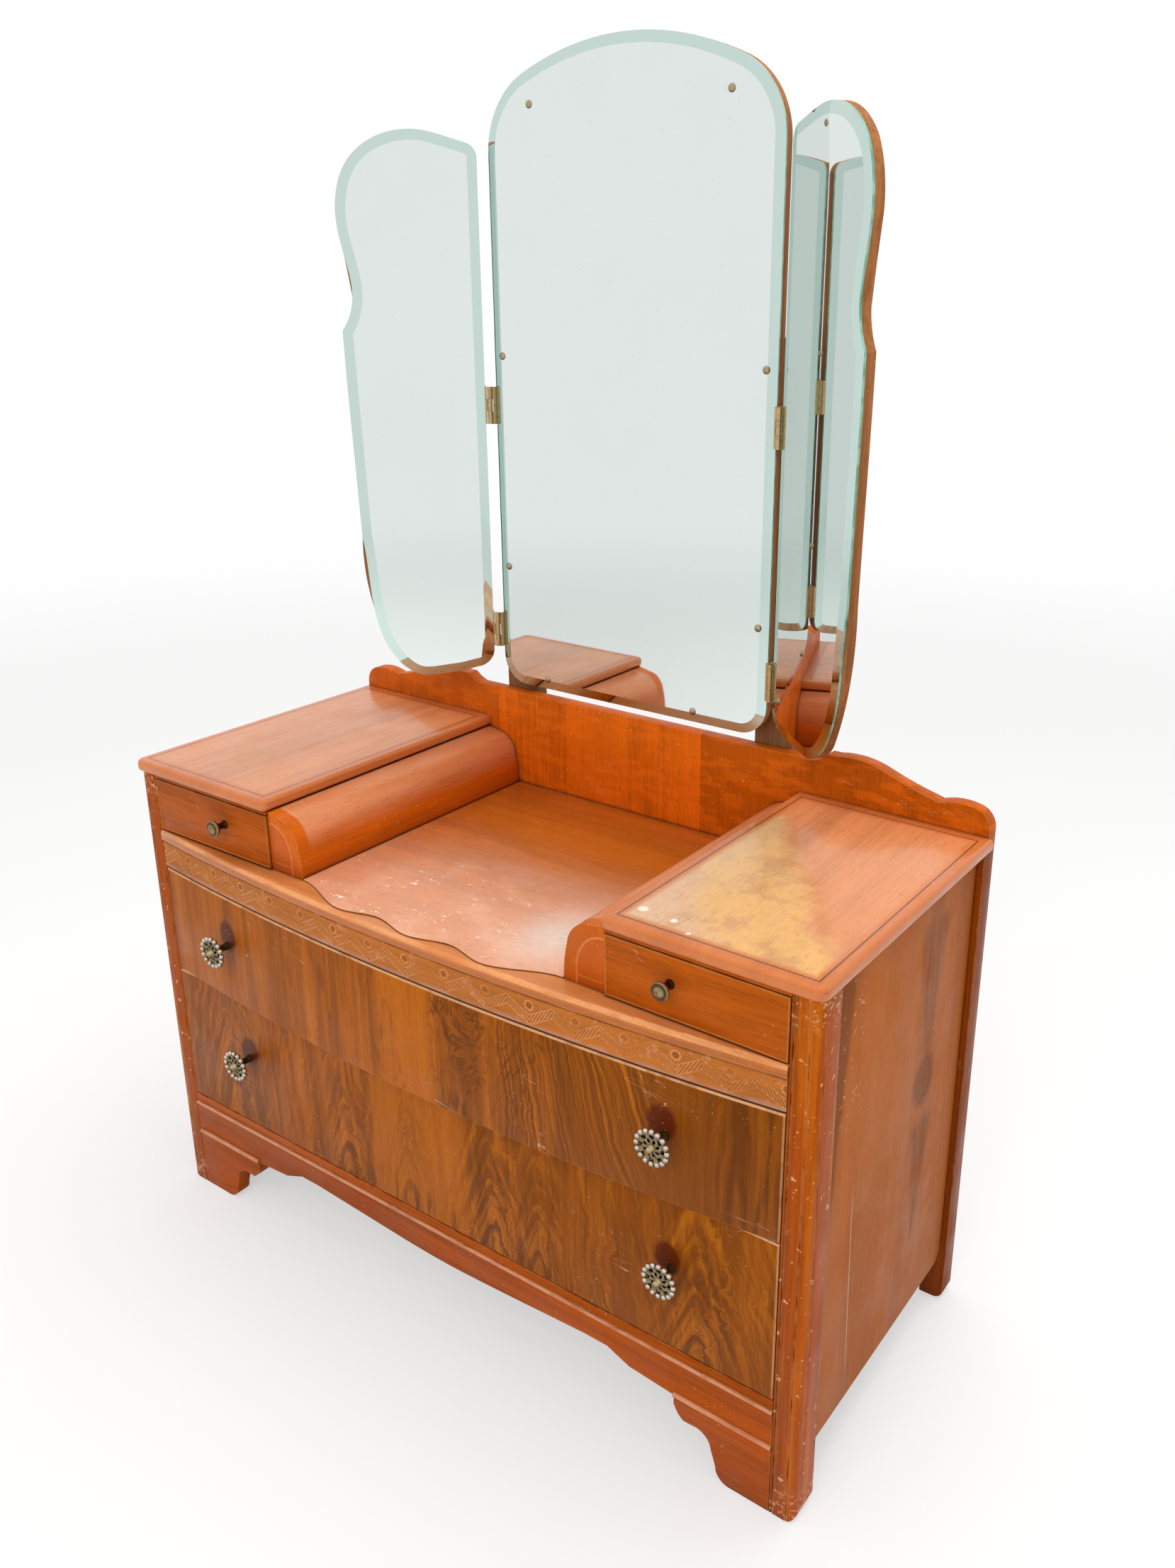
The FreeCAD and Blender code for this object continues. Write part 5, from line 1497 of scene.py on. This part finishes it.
class DRESSER_OT_clips(bpy.types.Operator):
    """Sets the small round clips that hold the glasses"""

    bl_idname = "dresser.clips"
    bl_label = "Mirror clips"

    PROFILE = ((0, 0.0030), (0.35, 0.0028), (0.75, 0.0019), (1, 0.0004), (1, 0.0), (0, 0.0))
    MIDDLE = (
        (-0.207, 1.214), (-0.207, 0.925), (0.207, 1.214), (0.207, 0.898),
        (-0.140, 0.768), (0.110, 0.768), (0.150, 1.520), (-0.150, 1.520),
    )
    WINGS = {
        "left": (46.5, ((0.170, 1.214), (0.170, 0.900), (0.075, 0.779))),
        "right": (34.3, ((0.172, 1.221), (0.172, 0.900), (0.068, 0.779))),
    }
    PIN_ACROSS = 0.229
    PIN_AHEAD = 0.004

    def execute(self, context):
        self.radius = context.scene.fitting_sizes.clip_radius
        self.brass = metal("clip_brass", (0.42, 0.34, 0.20), 0.3)
        self.shape = new_piece("clip_shape", lathe(self.PROFILE, 20))
        self.layout_tree = clip_layout()
        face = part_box("mirror_glass")[0].y
        self.set_clips("mirror_clips", "carcase", [(x, face, z) for x, z in self.MIDDLE], 0)
        for side, (degrees, places) in self.WINGS.items():
            sign, turn = SIGNS[side], math.radians(degrees)
            pin = Vector((sign * self.PIN_ACROSS, face - self.PIN_AHEAD, 0))
            out = Vector((sign * math.cos(turn), -math.sin(turn), 0))
            front = Vector((-sign * math.sin(turn), -math.cos(turn), 0))
            face_pin = pin - front * self.PIN_AHEAD
            spots = [tuple(face_pin + out * run + Vector((0, 0, z))) for run, z in places]
            self.set_clips("wing_" + side + "_clips", "wing_" + side, spots, -sign * turn)
        bpy.data.objects.remove(self.shape)
        return {"FINISHED"}

    def set_clips(self, name, body, places, turn):
        """Clips at these places, all turned about Z as their glass is."""
        mesh = bpy.data.meshes.new(name)
        mesh.from_pydata(places, [], [])
        turned = mesh.attributes.new("turn", "FLOAT_VECTOR", "POINT")
        turned.data.foreach_set("vector", (0, 0, turn) * len(places))
        piece = new_piece(name, mesh)
        self.layout_tree.run(piece, Shape=self.shape, Radius=self.radius, Finish=self.brass)
        smooth(piece.data, 40)
        carry(piece, body, "brass")


class DRESSER_OT_hinges(bpy.types.Operator):
    """Finishes the hinges of the side mirrors"""

    bl_idname = "dresser.hinges"
    bl_label = "Hinges"

    def execute(self, context):
        brass = metal("hinge_brass", (0.55, 0.40, 0.20), 0.38)
        for side in SIDES:
            for level in ("lower", "upper"):
                finish_node("hinge_" + side + "_" + level, brass, "brass")
                finish_node("wing_" + side + "_leaf_" + level, brass, "brass")
        return {"FINISHED"}


def knob_seat(node):
    """Where the middle of a knob meets its drawer front."""
    low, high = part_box(node)
    return Vector(((low.x + high.x) / 2, high.y, (low.z + high.z) / 2))


class DRESSER_OT_pierced_knobs(bpy.types.Operator):
    """Makes the pierced and pearled knobs of the long drawers"""

    bl_idname = "dresser.pierced_knobs"
    bl_label = "Pierced knobs"

    # The stem ends in a solid disc behind the plate, so that its holes show painted shade
    STEM = (
        (0, 0.0), (0.0056, 0.0), (0.0056, 0.0012), (0.0048, 0.0026), (0.0044, 0.0080), (0.0048, 0.0140),
        (0.0072, 0.0176), (0.0130, 0.0200), (0.0162, 0.0208), (0.0162, 0.0216), (0, 0.0216),
    )
    BOSS = (
        (0, 0.0080), (0.0016, 0.0078), (0.0030, 0.0068), (0.0039, 0.0050), (0.0042, 0.0030),
        (0.0050, 0.0022), (0.0050, 0.0), (0, 0.0),
    )
    PLATE_REACH = 0.0220
    PEARL_REACH = 0.0235
    BOSS_REACH = 0.0236

    def execute(self, context):
        sizes = context.scene.fitting_sizes
        metals = (
            metal("knob_pearls", (0.40, 0.33, 0.24), 0.22, (0.88, 0.80, 0.70)),
            # Near black, so the disc behind the plate shows through its holes as painted shade
            metal("knob_stem_bronze", (0.060, 0.038, 0.022), 0.45),
            metal("knob_plate_bronze", (0.25, 0.19, 0.11), 0.32, (0.52, 0.44, 0.30)),
            metal("knob_boss_brass", (0.36, 0.26, 0.12), 0.26, (0.66, 0.52, 0.30)),
        )
        layout = pearl_layout()
        for drawer in ("upper_drawer", "lower_drawer"):
            for side in SIDES:
                self.make_knob(drawer + "_knob_" + side, drawer, layout, sizes, metals)
        return {"FINISHED"}

    def make_knob(self, node, drawer, layout, sizes, metals):
        ring_radius = sizes.knob_radius - sizes.pearl_radius
        host = new_piece("pearls", bpy.data.meshes.new("pearls"))
        ring = layout.run(
            host, Pearls=sizes.pearls, Ring_Radius=ring_radius, Pearl_Radius=sizes.pearl_radius,
            Centre=(0, -self.PEARL_REACH, 0), Finish=metals[0],
        )
        bpy.data.objects.remove(host)
        parts = (
            lathe(self.STEM, 32),
            moved(pierced_plate(ring_radius, 0.0016, 0.004), (0, -self.PLATE_REACH, 0)),
            moved(lathe(self.BOSS, 32), (0, -self.BOSS_REACH, 0)),
        )
        for mesh, material in zip(parts, metals[1:]):
            mesh.materials.append(material)
        knob = new_piece(node + "_finished", moved(join_meshes(node, (ring, *parts)), knob_seat(node)))
        smooth(knob.data, 50)
        carry(knob, drawer, "brass", node)


class DRESSER_OT_plain_knobs(bpy.types.Operator):
    """Turns the plain knobs of the small drawers"""

    bl_idname = "dresser.plain_knobs"
    bl_label = "Plain knobs"

    RADIUS = 0.0112
    FACE = 0.0155
    PROFILE = (
        (0, 0.0), (0.0056, 0.0), (0.0058, 0.0010), (0.0050, 0.0022), (0.0044, 0.0040), (0.0042, 0.0075),
        (0.0050, 0.0105), (0.0074, 0.0130), (0.0098, 0.0148), (0.0109, 0.0164), (0.0112, 0.0180),
        (0.0107, 0.0196), (0.0096, 0.0205), (0.0086, 0.0204), (0.0078, 0.0200), (0.0066, 0.0212),
        (0.0044, 0.0228), (0.0022, 0.0237), (0, 0.0240),
    )

    def execute(self, context):
        brass = turned_brass("plain_knob_brass")
        for side in SIDES:
            drawer = "small_drawer_" + side
            mesh = lathe(self.PROFILE, 48)
            away = [
                math.hypot(vertex.co.x, vertex.co.z) / self.RADIUS if vertex.co.y < -self.FACE else -1.0
                for vertex in mesh.vertices
            ]
            mesh.attributes.new("away", "FLOAT", "POINT").data.foreach_set("value", away)
            node = drawer + "_knob"
            finish_piece(node + "_finished", moved(mesh, knob_seat(node)), brass, 60, drawer, "brass", node)
        return {"FINISHED"}


class DRESSER_PT_panel(bpy.types.Panel):
    """Lists the pieces of the dressing table"""

    bl_idname = "DRESSER_PT_panel"
    bl_label = "Dressing table"
    bl_space_type = "VIEW_3D"
    bl_region_type = "UI"
    bl_category = "Dressing table"

    def draw(self, context):
        for operator in OPERATORS:
            self.layout.operator(operator.bl_idname)
        for name in GROUPS:
            group = getattr(context.scene, name)
            box = self.layout.box()
            for key in group.__annotations__:
                box.prop(group, key)


GROUPS = {
    "wood_colours": WoodColours, "carving_sizes": CarvingSizes, "fitting_sizes": FittingSizes,
    "studio_sizes": StudioSizes,
}
OPERATORS = (
    DRESSER_OT_studio, DRESSER_OT_carcase, DRESSER_OT_tops, DRESSER_OT_frieze, DRESSER_OT_long_fronts,
    DRESSER_OT_small_fronts, DRESSER_OT_drawer_boxes, DRESSER_OT_mirrors, DRESSER_OT_clips,
    DRESSER_OT_hinges, DRESSER_OT_pierced_knobs, DRESSER_OT_plain_knobs,
)
CLASSES = (*GROUPS.values(), *OPERATORS, DRESSER_PT_panel)


def register():
    for entry in CLASSES:
        bpy.utils.register_class(entry)
    for name, group in GROUPS.items():
        setattr(bpy.types.Scene, name, bpy.props.PointerProperty(type=group))


def unregister():
    for name in GROUPS:
        delattr(bpy.types.Scene, name)
    for entry in reversed(CLASSES):
        bpy.utils.unregister_class(entry)


def main():
    register()
    for operator in OPERATORS:
        getattr(bpy.ops.dresser, operator.bl_idname.split(".")[1])()


if __name__ == "__main__":
    main()
